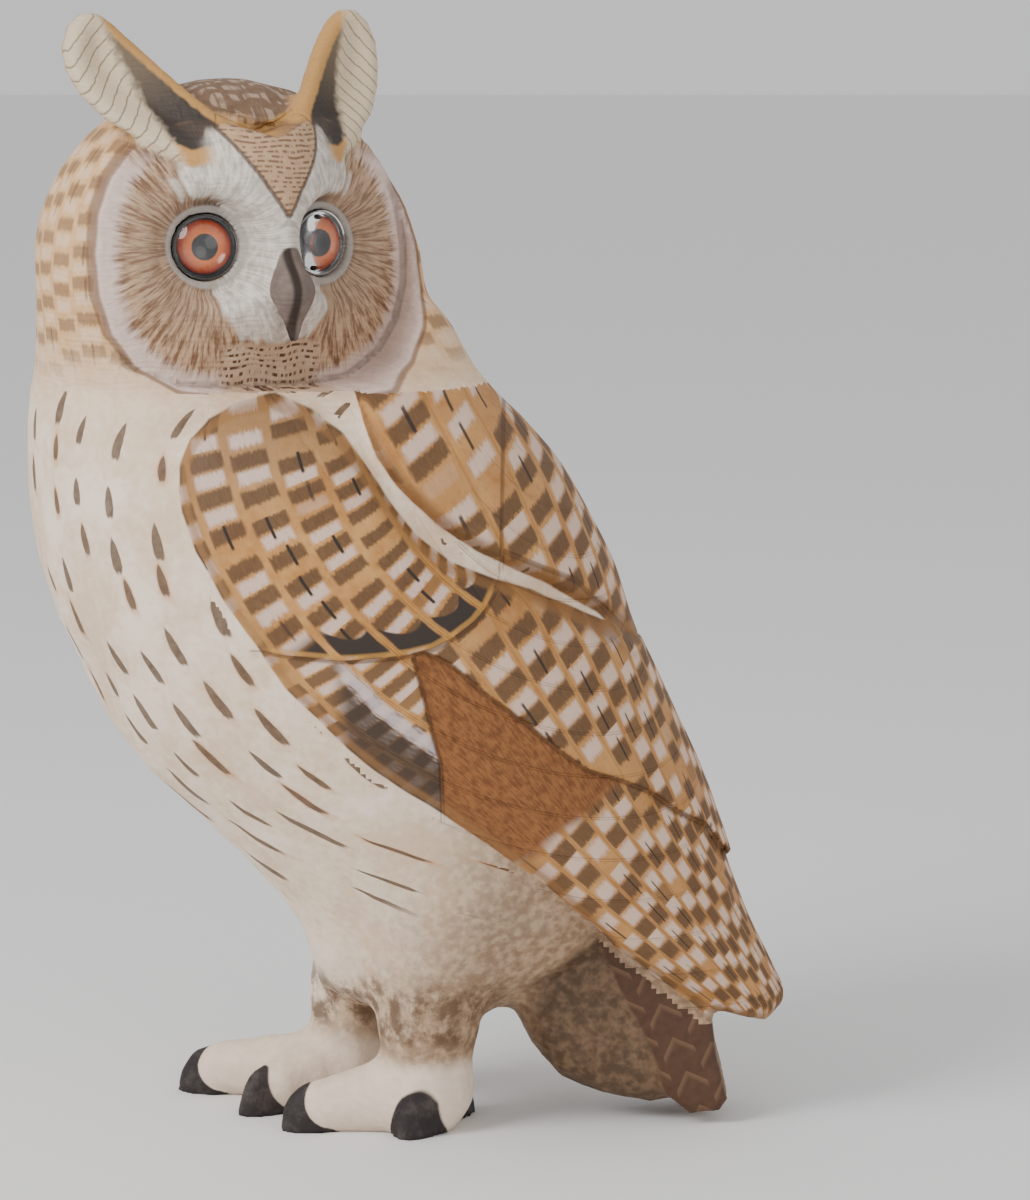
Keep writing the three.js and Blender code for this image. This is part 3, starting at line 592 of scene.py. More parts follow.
places = points.copy()
places[:, 1] -= FEET_AHEAD
mesh = bpy.data.meshes.new("owl_wood")
mesh.from_pydata(places * MM, [], quads)
for name, values in measures.items():
    mesh.attributes.new(name, "FLOAT", "POINT").data.foreach_set("value", values.astype(np.float32))
mesh.shade_smooth()
owl_wood = bpy.data.objects.new("owl_wood", mesh)
bpy.context.scene.collection.objects.link(owl_wood)
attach(owl_wood, "root")
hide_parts("owl_body")


# Node building: numbers and colours in a material's tree take part in plain arithmetic
class Socket:
    def __init__(self, tree, socket):
        self.tree = tree
        self.socket = socket

    def __add__(self, other):
        return calc("ADD", self, other)

    __radd__ = __add__

    def __sub__(self, other):
        return calc("SUBTRACT", self, other)

    def __rsub__(self, other):
        return calc("SUBTRACT", other, self)

    def __mul__(self, other):
        return calc("MULTIPLY", self, other)

    __rmul__ = __mul__

    def __truediv__(self, other):
        return calc("DIVIDE", self, other)

    def __rtruediv__(self, other):
        return calc("DIVIDE", other, self)


def plug(tree, slot, value):
    if isinstance(value, Socket):
        tree.links.new(value.socket, slot)
    else:
        slot.default_value = value


def tree_of(values):
    return next(v.tree for v in values if isinstance(v, Socket))


def calc(operation, *values):
    tree = tree_of(values)
    node = tree.nodes.new("ShaderNodeMath")
    node.operation = operation
    for slot, value in zip(node.inputs, values):
        plug(tree, slot, value)
    return Socket(tree, node.outputs[0])


def least(a, b):
    return calc("MINIMUM", a, b)


def most(a, b):
    return calc("MAXIMUM", a, b)


def ramp(value, start, end):
    """Smoothly from 0 at start to 1 at end. Start may be the larger."""
    tree = value.tree
    node = tree.nodes.new("ShaderNodeMapRange")
    node.interpolation_type = "SMOOTHSTEP"
    plug(tree, node.inputs["Value"], value)
    plug(tree, node.inputs["From Min"], start)
    plug(tree, node.inputs["From Max"], end)
    return Socket(tree, node.outputs["Result"])


def blend(share, a, b):
    """From colour a to colour b."""
    tree = tree_of((share, a, b))
    node = tree.nodes.new("ShaderNodeMix")
    node.data_type = "RGBA"
    plug(tree, node.inputs[0], share)
    plug(tree, node.inputs[6], a)
    plug(tree, node.inputs[7], b)
    return Socket(tree, node.outputs[2])


def vector(a, b, c):
    tree = tree_of((a, b, c))
    node = tree.nodes.new("ShaderNodeCombineXYZ")
    for slot, value in zip(node.inputs, (a, b, c)):
        plug(tree, slot, value)
    return Socket(tree, node.outputs[0])


def noise(at, scale=1.0, detail=2.0, roughness=0.5):
    node = at.tree.nodes.new("ShaderNodeTexNoise")
    plug(at.tree, node.inputs["Vector"], at)
    node.inputs["Scale"].default_value = scale
    node.inputs["Detail"].default_value = detail
    node.inputs["Roughness"].default_value = roughness
    return Socket(at.tree, node.outputs["Fac"])


def chance(a, b, seed):
    """A random number for each pair of whole numbers."""
    tree = tree_of((a, b))
    node = tree.nodes.new("ShaderNodeTexWhiteNoise")
    plug(tree, node.inputs["Vector"], vector(a, b, seed))
    return Socket(tree, node.outputs["Value"])


def floor(value):
    return calc("FLOOR", value)


def tone(red, green, blue):
    """A colour as it looks on a screen, as the shader's own."""
    parts = [c / 255 for c in (red, green, blue)]
    return tuple(c / 12.92 if c <= 0.04045 else ((c + 0.055) / 1.055) ** 2.4 for c in parts) + (1,)


def measure(tree, name):
    node = tree.nodes.new("ShaderNodeAttribute")
    node.attribute_name = name
    return Socket(tree, node.outputs["Fac"])


class Wood:
    """One painted-wood material: its places in millimetres, its ground colours, and its shader."""

    def __init__(self, name):
        self.material = bpy.data.materials.new(name)
        self.material.use_nodes = True
        self.tree = self.material.node_tree
        self.tree.nodes.clear()
        node = self.tree.nodes.new("ShaderNodeTexCoord")
        split = self.tree.nodes.new("ShaderNodeSeparateXYZ")
        self.tree.links.new(node.outputs["Object"], split.inputs[0])
        parts = [Socket(self.tree, s) for s in split.outputs]
        self.x = parts[0] / MM
        self.y = parts[1] / MM + FEET_AHEAD
        self.z = parts[2] / MM
        self.place = vector(self.x, self.y, self.z)
        self.wide = noise(self.place, 0.06, 2)
        self.fine = noise(self.place, 0.45, 3)

    def get(self, name):
        return measure(self.tree, name)

    def head(self):
        dx = self.x - HEAD_CENTRE[0]
        dy = self.y - HEAD_CENTRE[1]
        c, s = math.cos(HEAD_TURN), math.sin(HEAD_TURN)
        return dx * c + dy * s, dy * c - dx * s, self.z - HEAD_CENTRE[2]

    def ground(self):
        """The thin paint of the breast, neck, belly and undertail; the brown towards the tail is partly painted shade.
        """
        cream = blend(ramp(self.wide + (self.fine - 0.5) * 0.5, 0.3, 0.7), tone(226, 198, 168), tone(245, 226, 204))
        high = ramp(self.z + (self.wide - 0.5) * 26, 176, 205)
        colour = blend(high, cream, blend(self.fine, tone(203, 152, 96), tone(232, 192, 146)))
        # Towards the tail and under the wing the belly turns brown: partly the paint's own brown, partly painted shade
        belly_brown_and_shade = ramp(self.y + (self.wide - 0.5) * 20 - (self.z - 50) * 0.5, -6, 44) * ramp(self.z, 104, 74)
        brown = blend(ramp(self.fine, 0.35, 0.7), tone(122, 90, 60), tone(172, 140, 108))
        return blend(belly_brown_and_shade * 0.85, colour, brown)

    def finish(self, colour, height, roughness=0.62):
        """Ends the tree. Height is in millimetres."""
        tree = self.tree
        shader = tree.nodes.new("ShaderNodeBsdfPrincipled")
        output = tree.nodes.new("ShaderNodeOutputMaterial")
        bump = tree.nodes.new("ShaderNodeBump")
        bump.inputs["Distance"].default_value = MM
        plug(tree, bump.inputs["Height"], height)
        plug(tree, shader.inputs["Base Color"], colour)
        plug(tree, shader.inputs["Roughness"], roughness)
        shader.inputs["Specular IOR Level"].default_value = 0.35
        tree.links.new(bump.outputs[0], shader.inputs["Normal"])
        tree.links.new(shader.outputs[0], output.inputs["Surface"])
        return self.material


DARK = tone(84, 60, 40)
BLACK = tone(44, 34, 28)
PINK = tone(222, 198, 186)
OCHRE = tone(196, 140, 76)


def fan(wood, turn):
    """Across and along the long feathers, which run together beyond the wing tip."""
    dy = 125 - turn
    dz = wood.z - 5
    return calc("ARCTAN2", dz, dy) * (180 / math.pi), calc("SQRT", dy * dy + dz * dz)


def arcs(wood, turn):
    """Across and along the coverts, which bend round a point high on the back."""
    dy = 80 - turn
    dz = 200 - wood.z
    reach = calc("SQRT", dy * dy + dz * dz)
    return (107.2 - reach) / 10.5, calc("ARCTAN2", dz, dy) * 95


def bars(u, v, pitch, seed, streak, dark_share=0.24, light_share=0.2):
    """Ragged blocks in cells: the masks of dark blocks, of light ones and of shaft streaks."""
    column = floor(u)
    s = u - column
    row_at = v / pitch + chance(column, 7.0, seed)
    row = floor(row_at)
    t = row_at - row
    luck = chance(column, row, seed + 3)
    shift = (luck - 0.5) * 0.16
    ragged = (streak - 0.5) * 0.55
    dark = ramp(calc("ABSOLUTE", t - 0.28 - shift) + ragged * 0.5, dark_share + 0.06, dark_share - 0.08)
    light = ramp(calc("ABSOLUTE", t - 0.76 - shift) + ragged * 0.6, light_share + 0.08, light_share - 0.1)
    width = ramp(calc("ABSOLUTE", s - 0.5) + ragged * 0.16, 0.46, 0.38)
    light_width = ramp(calc("ABSOLUTE", s - 0.5) + ragged * 0.2, 0.42, 0.3)
    shaft = ramp(calc("ABSOLUTE", s - 0.5 - (luck - 0.5) * 0.2), 0.055, 0.02)
    shaft = shaft * ramp(calc("ABSOLUTE", t - 0.36), 0.42, 0.3) * ramp(chance(row, column, seed + 9), 0.5, 0.55)
    dark = dark * width * ramp(luck, 0.06, 0.12)
    return dark, light * light_width * ramp(chance(column, row, seed + 5), 0.12, 0.2), shaft, s


def wing_material():
    wood = Wood("wood_wing")
    turn = wood.get("turn")
    wing, coverts, secondaries = wood.get("wing"), wood.get("coverts"), wood.get("secondaries")
    tertials, mantle, crease_shade = wood.get("tertials"), wood.get("mantle"), wood.get("crease_shade")
    u1, v1 = arcs(wood, turn)
    u2, v2 = fan(wood, turn)
    streak1 = noise(vector(u1 * 16, v1 * 0.3, 0.0), 1, 2, 0.6)
    streak2 = noise(vector(u2 * 3.4, v2 * 0.28, 5.0), 1, 2, 0.6)
    shade = ramp(wood.wide + (wood.fine - 0.5) * 0.4, 0.3, 0.7)
    ochre = blend(shade, tone(176, 120, 62), tone(206, 154, 94))

    # Coverts, with a browner shoulder and dark tips along their lower edge
    dark, light, shaft, s1 = bars(u1, v1, 7.4, 11.0, streak1)
    shoulder = ramp(wood.z + (wood.wide - 0.5) * 20 - wood.y * 0.25, 152, 190)
    ground1 = blend(shoulder * 0.75, ochre, tone(142, 108, 74))
    paint1 = blend(light * 0.75, ground1, PINK)
    paint1 = blend(dark * (0.72 + streak1 * 0.3), paint1, DARK)
    paint1 = blend(shaft, paint1, BLACK)
    edge1 = ramp(calc("ABSOLUTE", s1 - 0.5), 0.455, 0.49) * ramp(v1, 60, 84)
    paint1 = blend(edge1 * 0.7, paint1, tone(206, 150, 70))
    bow = (s1 - 0.5) * (s1 - 0.5) * 12
    tip = ramp(coverts + bow, -5.6, -4.8) * ramp(coverts, -0.7, -1.3) * ramp(calc("ABSOLUTE", s1 - 0.5), 0.44, 0.38)
    tip = tip * ramp(v1, 64, 68)
    paint1 = blend(tip, paint1, tone(52, 42, 36))

    # The long feathers and the mantle
    dark2, light2, shaft2, s2 = bars(u2 / 4.4, v2, 9.6, 23.0, streak2, 0.25, 0.22)
    ground2 = blend(ramp(wood.fine, 0.3, 0.7), ochre, tone(186, 134, 82))
    paint2 = blend(light2 * 0.75, ground2, tone(226, 200, 184))
    paint2 = blend(dark2 * (0.7 + streak2 * 0.3), paint2, DARK)
    paint2 = blend(shaft2 * 0.9, paint2, BLACK)
    edge2 = ramp(calc("ABSOLUTE", s2 - 0.5), 0.44, 0.49)
    paint2 = blend(edge2 * 0.45, paint2, tone(168, 112, 52))

    # The plain brown primaries, up to where the barring begins
    plain = ramp(turn * 0.5 - (wood.z - 85) * 0.85 + (wood.wide - 0.5) * 6, 36, 32)
    brown = blend(ramp(streak2 * 0.6 + wood.fine * 0.4, 0.35, 0.65), tone(112, 66, 32), tone(152, 98, 52))
    paint2b = blend(plain, paint2, brown)
    on_tertials = ramp(least(tertials, mantle), 0.3, -0.3)
    paint2 = blend(on_tertials, paint2b, paint2)

    # The short panel under the coverts, which ends in slate tips
    dark3, light3, shaft3, s3 = bars(u1, v1 + coverts * 0.4, 7.0, 31.0, streak1, 0.26, 0.2)
    paint3 = blend(light3 * 0.8, ochre, PINK)
    paint3 = blend(dark3 * 0.85, paint3, tone(92, 66, 46))
    slate = ramp(wing + (streak1 - 0.5) * 3, -13, -10.5) * ramp(turn, 0, 6)
    paint3 = blend(slate * (0.75 + streak1 * 0.25), paint3, tone(58, 47, 40))
    paint3 = blend(ramp(calc("ABSOLUTE", wing + 13.5 + (streak1 - 0.5) * 3), 2.4, 0.6) * ramp(turn, 0, 6) * 0.8, paint3, tone(206, 190, 190))

    in_coverts = ramp(coverts, 0.2, -0.2)
    in_panel = ramp(secondaries, 0.2, -0.2)
    paint = blend(in_panel, paint2, paint3)
    paint = blend(in_coverts * ramp(mantle, -0.2, 0.3), paint, paint1)

    # Feather-group edges: an ochre rim, and below it a dark line that is painted shade in the groove at each step
    rims = ramp(calc("ABSOLUTE", coverts + 0.8), 1.0, 0.3) * ramp(wing, -1, -3)
    paint = blend(rims * 0.6, paint, tone(200, 146, 70))
    groove_and_shade = most(ramp(calc("ABSOLUTE", coverts - 0.5), 0.7, 0.1), ramp(calc("ABSOLUTE", secondaries - 0.2), 0.7, 0.1) * ramp(coverts, -0.5, 0.5))
    groove_and_shade = most(groove_and_shade, ramp(calc("ABSOLUTE", tertials - 0.3), 0.9, 0.1) * ramp(coverts, 0, 1))
    paint = blend(groove_and_shade * 0.6, paint, tone(86, 54, 28))
    # Painted shade: darker brown in the creases of the wings and mantle
    wing_crease_shade = ramp(crease_shade, 0.12, 0.5)
    paint = blend(wing_crease_shade * 0.7, paint, tone(110, 74, 38))
    border = ramp(calc("ABSOLUTE", wing + 1.6), 1.6, 0.4)
    paint = blend(border * 0.55, paint, tone(150, 106, 60))
    paint = blend(ramp(least(wing, mantle), -0.3, 0.3), paint, wood.ground())
    height = streak1 * 0.1 + streak2 * 0.1 + wood.fine * 0.12 - groove_and_shade * 0.5 - edge2 * 0.12 - edge1 * 0.3
    return wood.finish(paint, height)


def body_material():
    wood = Wood("wood_body")
    girth = wood.get("girth")
    undertail, tail_in, crease_shade = wood.get("undertail"), wood.get("tail"), wood.get("crease_shade")
    colour = wood.ground()

    # Long dark spots with rusty edges, in leaning columns down the breast
    u = girth / 12.5
    column = floor(u)
    v = wood.z / 13.5 + chance(column, 1.0, 41.0)
    row = floor(v)
    luck, luck2, luck3 = chance(column, row, 43.0), chance(column, row, 47.0), chance(column, row, 53.0)
    s = (u - column - 0.5 - (luck - 0.5) * 0.45) * 12.5
    t = (v - row - 0.5 - (luck2 - 0.5) * 0.4) * 13.5
    lean = s + t * 0.12
    half_long = 3 + luck3 * 2
    taper = calc("ABSOLUTE", lean) + (t * 0.12)
    shape = calc("SQRT", (taper / (1 + luck3 * 0.5)) * (taper / (1 + luck3 * 0.5)) + (t / half_long) * (t / half_long))
    shape = shape + (wood.fine - 0.5) * 0.35
    there = ramp(wood.z, 56, 62) * ramp(luck, 0.93, 0.9) * ramp(wood.z + calc("ABSOLUTE", girth) * 0.2, 214, 206)
    there = there * ramp(wood.y - (wood.z - 50) * 0.3, 60, 40)
    spot = ramp(shape, 1.12, 0.86) * there
    halo = ramp(shape, 1.75, 0.95) * there * ramp(luck2, 0.3, 0.8)
    colour = blend(halo * 0.5, colour, tone(206, 142, 86))
    colour = blend(spot * (0.75 + wood.fine * 0.3), colour, tone(92, 70, 50))

    # The undertail and the dark tail with its lighter feather edges
    under = ramp(undertail, 3, -1) * ramp(wood.y, 44, 54)
    colour = blend(under * 0.9, colour, blend(ramp(wood.fine + (wood.wide - 0.5), 0.3, 0.8), tone(70, 51, 35), tone(112, 86, 62)))
    scale_u = (wood.y * 0.9 + wood.z * 0.35) / 8
    scale_v = (wood.z * 0.9 - wood.y * 0.35) / 9
    half_row = floor(scale_u) * 0.5
    arc = calc("FRACT", scale_v + half_row + calc("ABSOLUTE", calc("FRACT", scale_u) - 0.5) * 0.9)
    scales = ramp(arc, 0.75, 0.95)
    on_tail = ramp(tail_in, 0.5, -0.5)
    colour = blend(on_tail, colour, blend(scales * 0.5, blend(wood.fine, tone(64, 42, 30), tone(96, 66, 46)), tone(128, 98, 72)))

    # Smudged ankles, pale toes and black claws
    smudge_noise = noise(wood.place, 0.16, 4, 0.7)
    smudge = ramp(calc("ABSOLUTE", wood.z - 29 + (wood.wide - 0.5) * 14), 13, 5) * ramp(smudge_noise, 0.38, 0.62)
    smudge = smudge * ramp(wood.y, 48, 38)
    colour = blend(smudge * 0.85, colour, tone(92, 66, 44))
    toes = ramp(wood.z + (wood.wide - 0.5) * 6, 20, 15) * ramp(wood.y, 46, 40)
    colour = blend(toes, colour, blend(wood.fine, tone(218, 194, 172), tone(242, 224, 206)))
    claw = ramp(wood.get("claw"), 0.4, -0.1) * ramp(wood.z, 15, 13.5) * toes
    claw_colour = blend(ramp(smudge_noise, 0.45, 0.7), tone(40, 33, 32), tone(70, 62, 58))
    colour = blend(claw, colour, claw_colour)
    # Painted shade: darker brown where the surface folds into creases
    colour = blend(ramp(crease_shade, 0.2, 0.7) * 0.55, colour, tone(104, 74, 48))
    height = wood.fine * 0.22 + noise(wood.place, 1.6, 2) * 0.06 - spot * 0.05
    return wood.finish(colour, height, 0.6)


def head_material():
    wood = Wood("wood_head")
    ahead, side, up = wood.head()
    across = calc("ABSOLUTE", side)
    disc, white, wedge, crease_shade = wood.get("disc"), wood.get("white"), wood.get("wedge"), wood.get("crease_shade")
    colour = wood.ground()

    # Tan sides and back with rows of streaky bars
    bearing = calc("ARCTAN2", side, 0 - ahead)
    streak_h = noise(vector(bearing * 70, up * 0.3, 2.0), 1, 2, 0.6)
    dark, light, shaft, _ = bars(bearing * 6.2, 0 - up, 8.2, 61.0, streak_h, 0.2, 0.18)
    barred = ramp(wood.z, 186, 200)
    colour = blend(light * 0.5 * barred, colour, tone(236, 208, 184))
    colour = blend(dark * 0.62 * barred, colour, tone(112, 80, 52))
    colour = blend(shaft * 0.5 * barred, colour, BLACK)

    # Crown: rows of small pale dashes on brown
    wave = noise(vector(side * 0.12, up * 0.12, ahead * 0.12), 1, 1)
    rows = up * 0.5 + ahead * 0.5 + wave * 3
    dash = calc("FRACT", rows * 0.75)
    broken = noise(vector(side * 0.5, floor(rows * 0.75) * 3.1, 1.0), 1, 1)
    crown_dash = ramp(calc("ABSOLUTE", dash - 0.5), 0.3, 0.12) * ramp(broken, 0.42, 0.55)
    crown = ramp(up + (wave - 0.5) * 6 - calc("ABSOLUTE", ahead) * 0.12, 33, 37) * ramp(across, 26, 20)
    crown_colour = blend(crown_dash * 0.6, blend(wood.fine, tone(96, 72, 54), tone(140, 112, 88)), tone(196, 168, 146))
    colour = blend(crown, colour, crown_colour)

    # The face: brown with streaks that run out from the eyes
    ex = across - EYE_SIDE
    ey = up - EYE_UP
    away = calc("SQRT", ex * ex + ey * ey)
    angle = calc("ARCTAN2", ey, ex)
    hair = noise(vector(angle * 24, away * 0.16, side * 0.02), 1, 3, 0.65)
    thin = noise(vector(angle * 52, away * 0.3, 9.0), 1, 1)
    cheek = blend(ramp(hair, 0.36, 0.62), tone(120, 86, 60), tone(196, 162, 130))
    cheek = blend(ramp(thin, 0.6, 0.72) * 0.5, cheek, tone(96, 64, 42))
    warm = ramp(away, 14, 26)
    cheek = blend((1 - warm) * 0.35, cheek, tone(150, 126, 106))
    plate = cheek

    # Pale rim
    rim = ramp(disc + (hair - 0.5) * 5, -6.5, -3) * ramp(up, 31, 24)
    plate = blend(rim * 0.85, plate, blend(wood.fine, tone(206, 178, 166), tone(238, 216, 206)))

    # Smudges over the eyes, up to the ears
    dx, dy = across - 20, up - 36
    patch = calc("SQRT", dx * dx + dy * dy)
    smudge = ramp(patch + (hair - 0.5) * 8, 13, 5)
    inner = ramp(away + (hair - 0.5) * 4, 15, 9) * ramp((ey * 0.75 - ex * 0.65) / (away + 0.1), 0.2, 0.75)
    ring = ramp(away + (hair - 0.5) * 2, 12, 9.6)
    plate = blend(smudge * 0.9, plate, tone(66, 55, 48))
    plate = blend(most(inner, ring * 0.5) * 0.85, plate, tone(58, 47, 42))

    # White brows, bridge and muzzle, with feathery outer edges
    spike = noise(vector(angle * 9, 3.0, 3.0), 1, 1)
    pale = ramp(white + (spike - 0.5) * 7 + (hair - 0.5) * 3, 0.8, -0.8)
    pale_colour = blend(ramp(hair * 0.6 + wood.fine * 0.4, 0.35, 0.65), tone(176, 164, 152), tone(226, 216, 204))
    plate = blend(pale, plate, pale_colour)

    # The forehead wedge with rows of dashes, and its ochre upper line
    w_rows = up * 0.8 + (wave - 0.5) * 2
    w_dash = ramp(calc("ABSOLUTE", calc("FRACT", w_rows) - 0.5), 0.32, 0.12)
    w_broken = noise(vector(side * 0.8, floor(w_rows) * 2.3, 4.0), 1, 1)
    wedge_colour = blend(w_dash * ramp(w_broken, 0.4, 0.55) * 0.75, blend(wood.fine, tone(176, 138, 104), tone(206, 172, 140)), tone(96, 66, 44))
    plate = blend(ramp(wedge, 0.25, -0.25), plate, wedge_colour)
    wedge_line = ramp(calc("ABSOLUTE", wedge), 0.7, 0.15)
    plate = blend(wedge_line * 0.75, plate, tone(70, 50, 38))
    ochre_line = ramp(calc("ABSOLUTE", up - 33.6 - across * 0.42), 1.5, 0.5) * ramp(across, 16, 13) * ramp(ahead, 14, 18)
    # Chin: rows of short dark dashes
    c_rows = up * 0.62 + (wave - 0.5) * 2
    c_dash = ramp(calc("ABSOLUTE", calc("FRACT", c_rows) - 0.5), 0.3, 0.14)
    c_broken = noise(vector(side * 0.9, floor(c_rows) * 5.3, 8.0), 1, 1)
    chin = ramp(up + (wave - 0.5) * 4, -16.5, -18.5) * ramp(across + (wave - 0.5) * 4, 15, 11)
    chin_colour = blend(c_dash * ramp(c_broken, 0.45, 0.58), blend(wood.fine, tone(176, 144, 116), tone(206, 178, 152)), tone(84, 60, 42))
    plate = blend(chin, plate, chin_colour)

    # A pale lid round each eye, and the dark line round the whole plate
    lid = ramp(calc("ABSOLUTE", away - 9.2), 1.3, 0.5)
    plate = blend(lid * 0.8, plate, tone(170, 162, 154))
    colour = blend(ramp(disc, 0.3, -0.3), colour, plate)
    colour = blend(ramp(calc("ABSOLUTE", disc - 0.2), 0.8, 0.2) * 0.7, colour, tone(110, 76, 50))
    colour = blend(ochre_line * 0.8, colour, tone(196, 146, 76))

    # Ear tufts
    ear_in, on_ear, front = wood.get("ear"), wood.get("on_ear"), wood.get("ear_front")
    along = (across - 18) * 0.514 + (up - 32) * 0.857
    out = (across - 18) * 0.857 - (up - 32) * 0.514
    notch = calc("ABSOLUTE", calc("FRACT", along * 0.34 + out * 0.12 + (wood.fine - 0.5) * 0.3) - 0.5)
    cream_edge = ramp(out + along * 0.22 + (wood.fine - 0.5) * 3, 3.5, 6.5)
    inside_ear = blend(ramp(along, 4, 26), tone(58, 49, 44), tone(112, 96, 76))
    ear_colour = blend(ramp(ear_in + (wood.fine - 0.5), -3.2, -2.2), inside_ear, tone(190, 142, 82))
    ear_colour = blend(cream_edge, ear_colour, tone(214, 194, 164))
    ear_colour = blend(cream_edge * ramp(notch, 0.1, 0.03) * 0.7, ear_colour, tone(104, 84, 60))
    back_colour = blend(wood.fine, tone(170, 124, 74), tone(200, 156, 102))
    ear_colour = blend(ramp(front, -0.5, 0.5), back_colour, ear_colour)
    colour = blend(ramp(on_ear, 2, 0.6), colour, ear_colour)

    # The beak, grey, with painted shade as a darker band along one side of its ridge
    on_beak = ramp(wood.get("beak"), 0.45, 0.2) * ramp(ahead, 33, 35)
    beak_grey_and_shade = blend(ramp(calc("ABSOLUTE", side + 1.2), 0.5, 1.6), tone(50, 38, 32), blend(wood.fine, tone(92, 78, 72), tone(132, 116, 106)))
    colour = blend(on_beak, colour, beak_grey_and_shade)
    # Painted shade: darker brown in the creases of the head, round the plate, beak and ears
    colour = blend(ramp(crease_shade, 0.25, 0.8) * 0.5, colour, tone(84, 60, 42))
    furrow = (hair * 0.22 + thin * 0.08) * ramp(disc, 0, -1)
    height = furrow + wood.fine * 0.15 - wedge_line * 0.35 - (w_dash + c_dash) * 0.04 + crown_dash * crown * 0.12
    return wood.finish(colour, height)


mesh.materials.append(body_material())
mesh.materials.append(wing_material())
mesh.materials.append(head_material())
middle = points[quads].mean(1)
wing_at = np.minimum(measures["wing"], measures["mantle"])[quads].min(1)
is_head = (head_frame(*middle.T)[2] > -32) & (middle[:, 2] > 186)
is_wing = (wing_at < 1.5) & ~is_head
mesh.polygons.foreach_set("material_index", (is_wing * 1 + is_head * 2).astype(np.int32))


# Glass eyes: a clear dome over a painted iris
def lathe(profile, segments=72):
    """A closed turned form from (radius, height) pairs that start and end on the axis."""
    rings = profile[1:-1]
    angles = np.arange(segments) * 2 * math.pi / segments
    vertices = [(0, 0, profile[0][1])]
    for radius, height in rings:
        vertices += [(radius * math.cos(a), radius * math.sin(a), height) for a in angles]
    vertices.append((0, 0, profile[-1][1]))
    top = len(vertices) - 1
    faces = []
    for i in range(segments):
        j = (i + 1) % segments
        faces.append((0, 1 + j, 1 + i))
        for r in range(len(rings) - 1):
            a, b = 1 + r * segments, 1 + (r + 1) * segments
            faces.append((a + i, a + j, b + j, b + i))
        last = 1 + (len(rings) - 1) * segments
        faces.append((last + i, last + j, top))
    return np.array(vertices, float), faces


def set_in_head(vertices, side_sign):
    gaze = HEAD_TURN + side_sign * EYE_SPLAY
    axis = np.array([math.cos(gaze), math.sin(gaze), 0])
    level = np.array([-math.sin(gaze), math.cos(gaze), 0])
    c, s = math.cos(HEAD_TURN), math.sin(HEAD_TURN)
    seat = np.array(HEAD_CENTRE, float) + EYE_AHEAD * np.array([c, s, 0])
    seat += side_sign * EYE_SIDE * np.array([-s, c, 0]) + np.array([0, -FEET_AHEAD, EYE_UP])
    return seat + vertices @ np.array([level, [0, 0, 1], axis])


def turned_piece(name, profile, side_sign, material, node):
    vertices, faces = lathe(profile)
    shape = bpy.data.meshes.new(name)
    shape.from_pydata(set_in_head(vertices, side_sign) * MM, [], faces)
    for label, values in (("level", vertices[:, 0]), ("rise", vertices[:, 1])):
        shape.attributes.new(label, "FLOAT", "POINT").data.foreach_set("value", values.astype(np.float32))
    shape.shade_smooth()
    shape.materials.append(material)
    piece = bpy.data.objects.new(name, shape)
    bpy.context.scene.collection.objects.link(piece)
    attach(piece, "root")
    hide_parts(node)
    return piece


def dome(radius, bulge, low, rings=12):
    sphere = (radius * radius + bulge * bulge) / (2 * bulge)
    reach = math.asin(radius / sphere)
    profile = [(0, low), (radius - 0.5, low), (radius, low + 0.5)]
    for i in range(rings):
        a = reach * (1 - i / rings)
        profile.append((sphere * math.sin(a), sphere * math.cos(a) - sphere + bulge))
    return profile + [(0, bulge)]


def glass_material():
    material = bpy.data.materials.new("eye_glass")
    material.use_nodes = True
    shader = material.node_tree.nodes["Principled BSDF"]
    shader.inputs["Base Color"].default_value = (1, 1, 1, 1)
    shader.inputs["Roughness"].default_value = 0.02
    shader.inputs["Transmission Weight"].default_value = 1
    shader.inputs["IOR"].default_value = 1.45
    return material


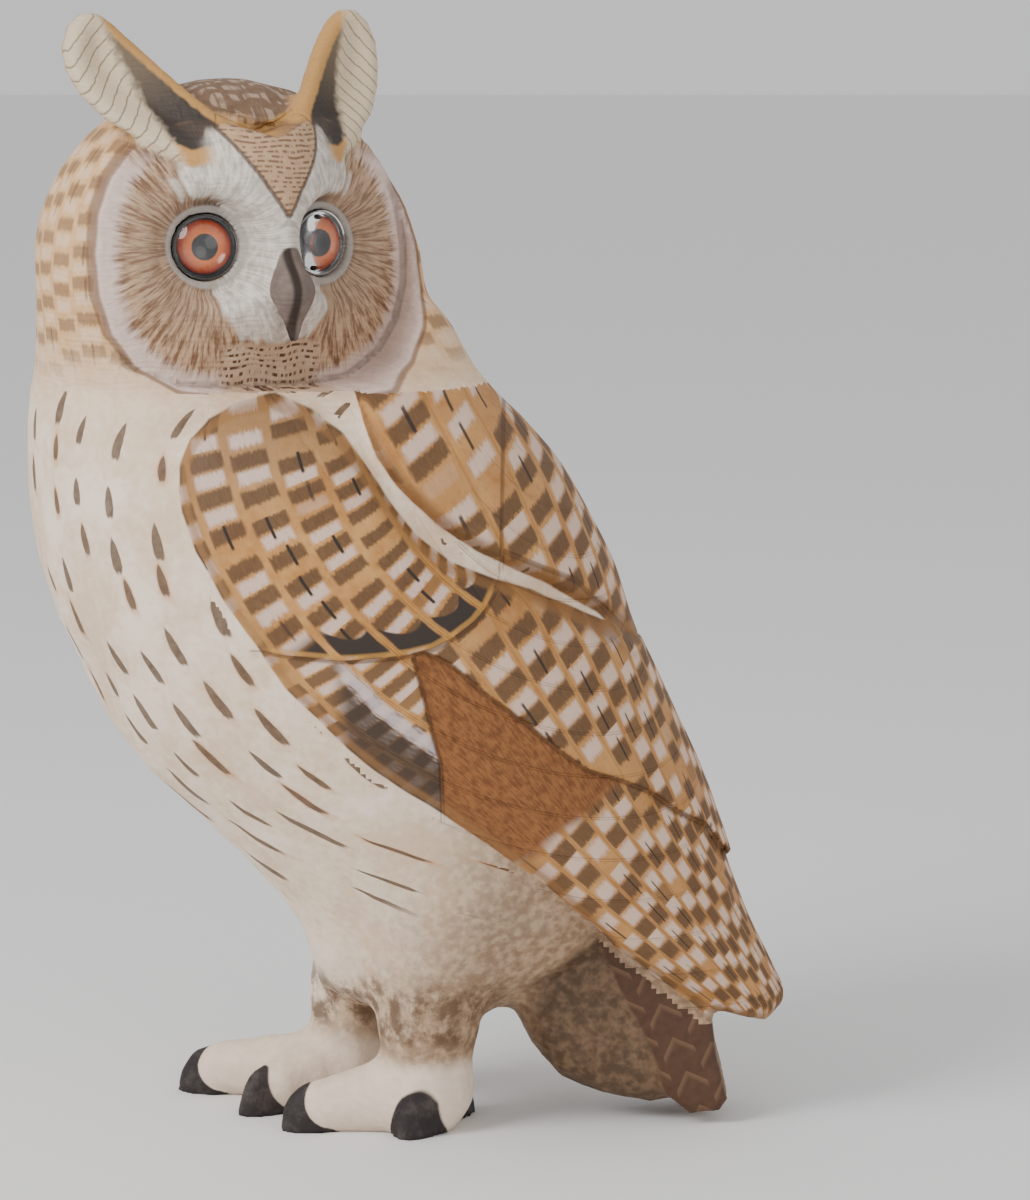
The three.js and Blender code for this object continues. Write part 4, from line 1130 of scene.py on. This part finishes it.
def iris_material():
    material = bpy.data.materials.new("eye_iris")
    material.use_nodes = True
    tree = material.node_tree
    shader = tree.nodes["Principled BSDF"]
    level, rise = measure(tree, "level"), measure(tree, "rise")
    away = calc("SQRT", level * level + rise * rise)
    angle = calc("ARCTAN2", rise, level)
    rays = noise(vector(angle * 9, away * 0.6, 1.0), 1, 3, 0.7)
    orange = blend(ramp(away + (rays - 0.5) * 2, 3.2, 6.2), tone(250, 128, 50), tone(176, 44, 12))
    orange = blend(ramp(rays, 0.6, 0.75) * 0.5, orange, tone(120, 30, 8))
    colour = blend(ramp(away, 3.05, 2.8), orange, (0.002, 0.002, 0.002, 1))
    colour = blend(ramp(away + (rays - 0.5) * 0.5, 5.7, 6.2), colour, (0.006, 0.005, 0.005, 1))
    plug(tree, shader.inputs["Base Color"], colour)
    shader.inputs["Roughness"].default_value = 0.3
    return material


glass, iris = glass_material(), iris_material()
for side_sign, node in ((1, "eye_left"), (-1, "eye_right")):
    turned_piece(node + "_glass", dome(EYE_RADIUS - 0.02, EYE_BULGE - 0.02, 0.9), side_sign, glass, node)
    turned_piece(node + "_iris", dome(EYE_RADIUS - 0.1, 0.5, -EYE_SEAT + 0.1, 4), side_sign, iris, node)

# Studio: a pale floor and soft light
floor_mesh = bpy.data.meshes.new("floor")
floor_mesh.from_pydata([(-6, -6, 0), (6, -6, 0), (6, 6, 0), (-6, 6, 0)], [], [(0, 1, 2, 3)])
floor_plane = bpy.data.objects.new("floor", floor_mesh)
floor_material = bpy.data.materials.new("floor")
floor_material.use_nodes = True
floor_shader = floor_material.node_tree.nodes["Principled BSDF"]
floor_shader.inputs["Base Color"].default_value = (0.86, 0.86, 0.86, 1)
floor_shader.inputs["Roughness"].default_value = 0.9
floor_mesh.materials.append(floor_material)
bpy.context.scene.collection.objects.link(floor_plane)

world = bpy.data.worlds.new("studio")
world.use_nodes = True
world.node_tree.nodes["Background"].inputs["Color"].default_value = (1, 1, 1, 1)
world.node_tree.nodes["Background"].inputs["Strength"].default_value = 0.75
bpy.context.scene.world = world


def soft_light(name, place, size, power):
    data = bpy.data.lights.new(name, "AREA")
    data.shape = "DISK"
    data.size = size
    data.energy = power
    light = bpy.data.objects.new(name, data)
    light.location = place
    light.rotation_euler = (Vector(place) - Vector((0, 0, 0.14))).to_track_quat("Z", "Y").to_euler()
    bpy.context.scene.collection.objects.link(light)


soft_light("key", (0.7, -0.9, 0.9), 0.7, 14)
soft_light("fill", (1.3, 0.9, 0.5), 1.0, 4)
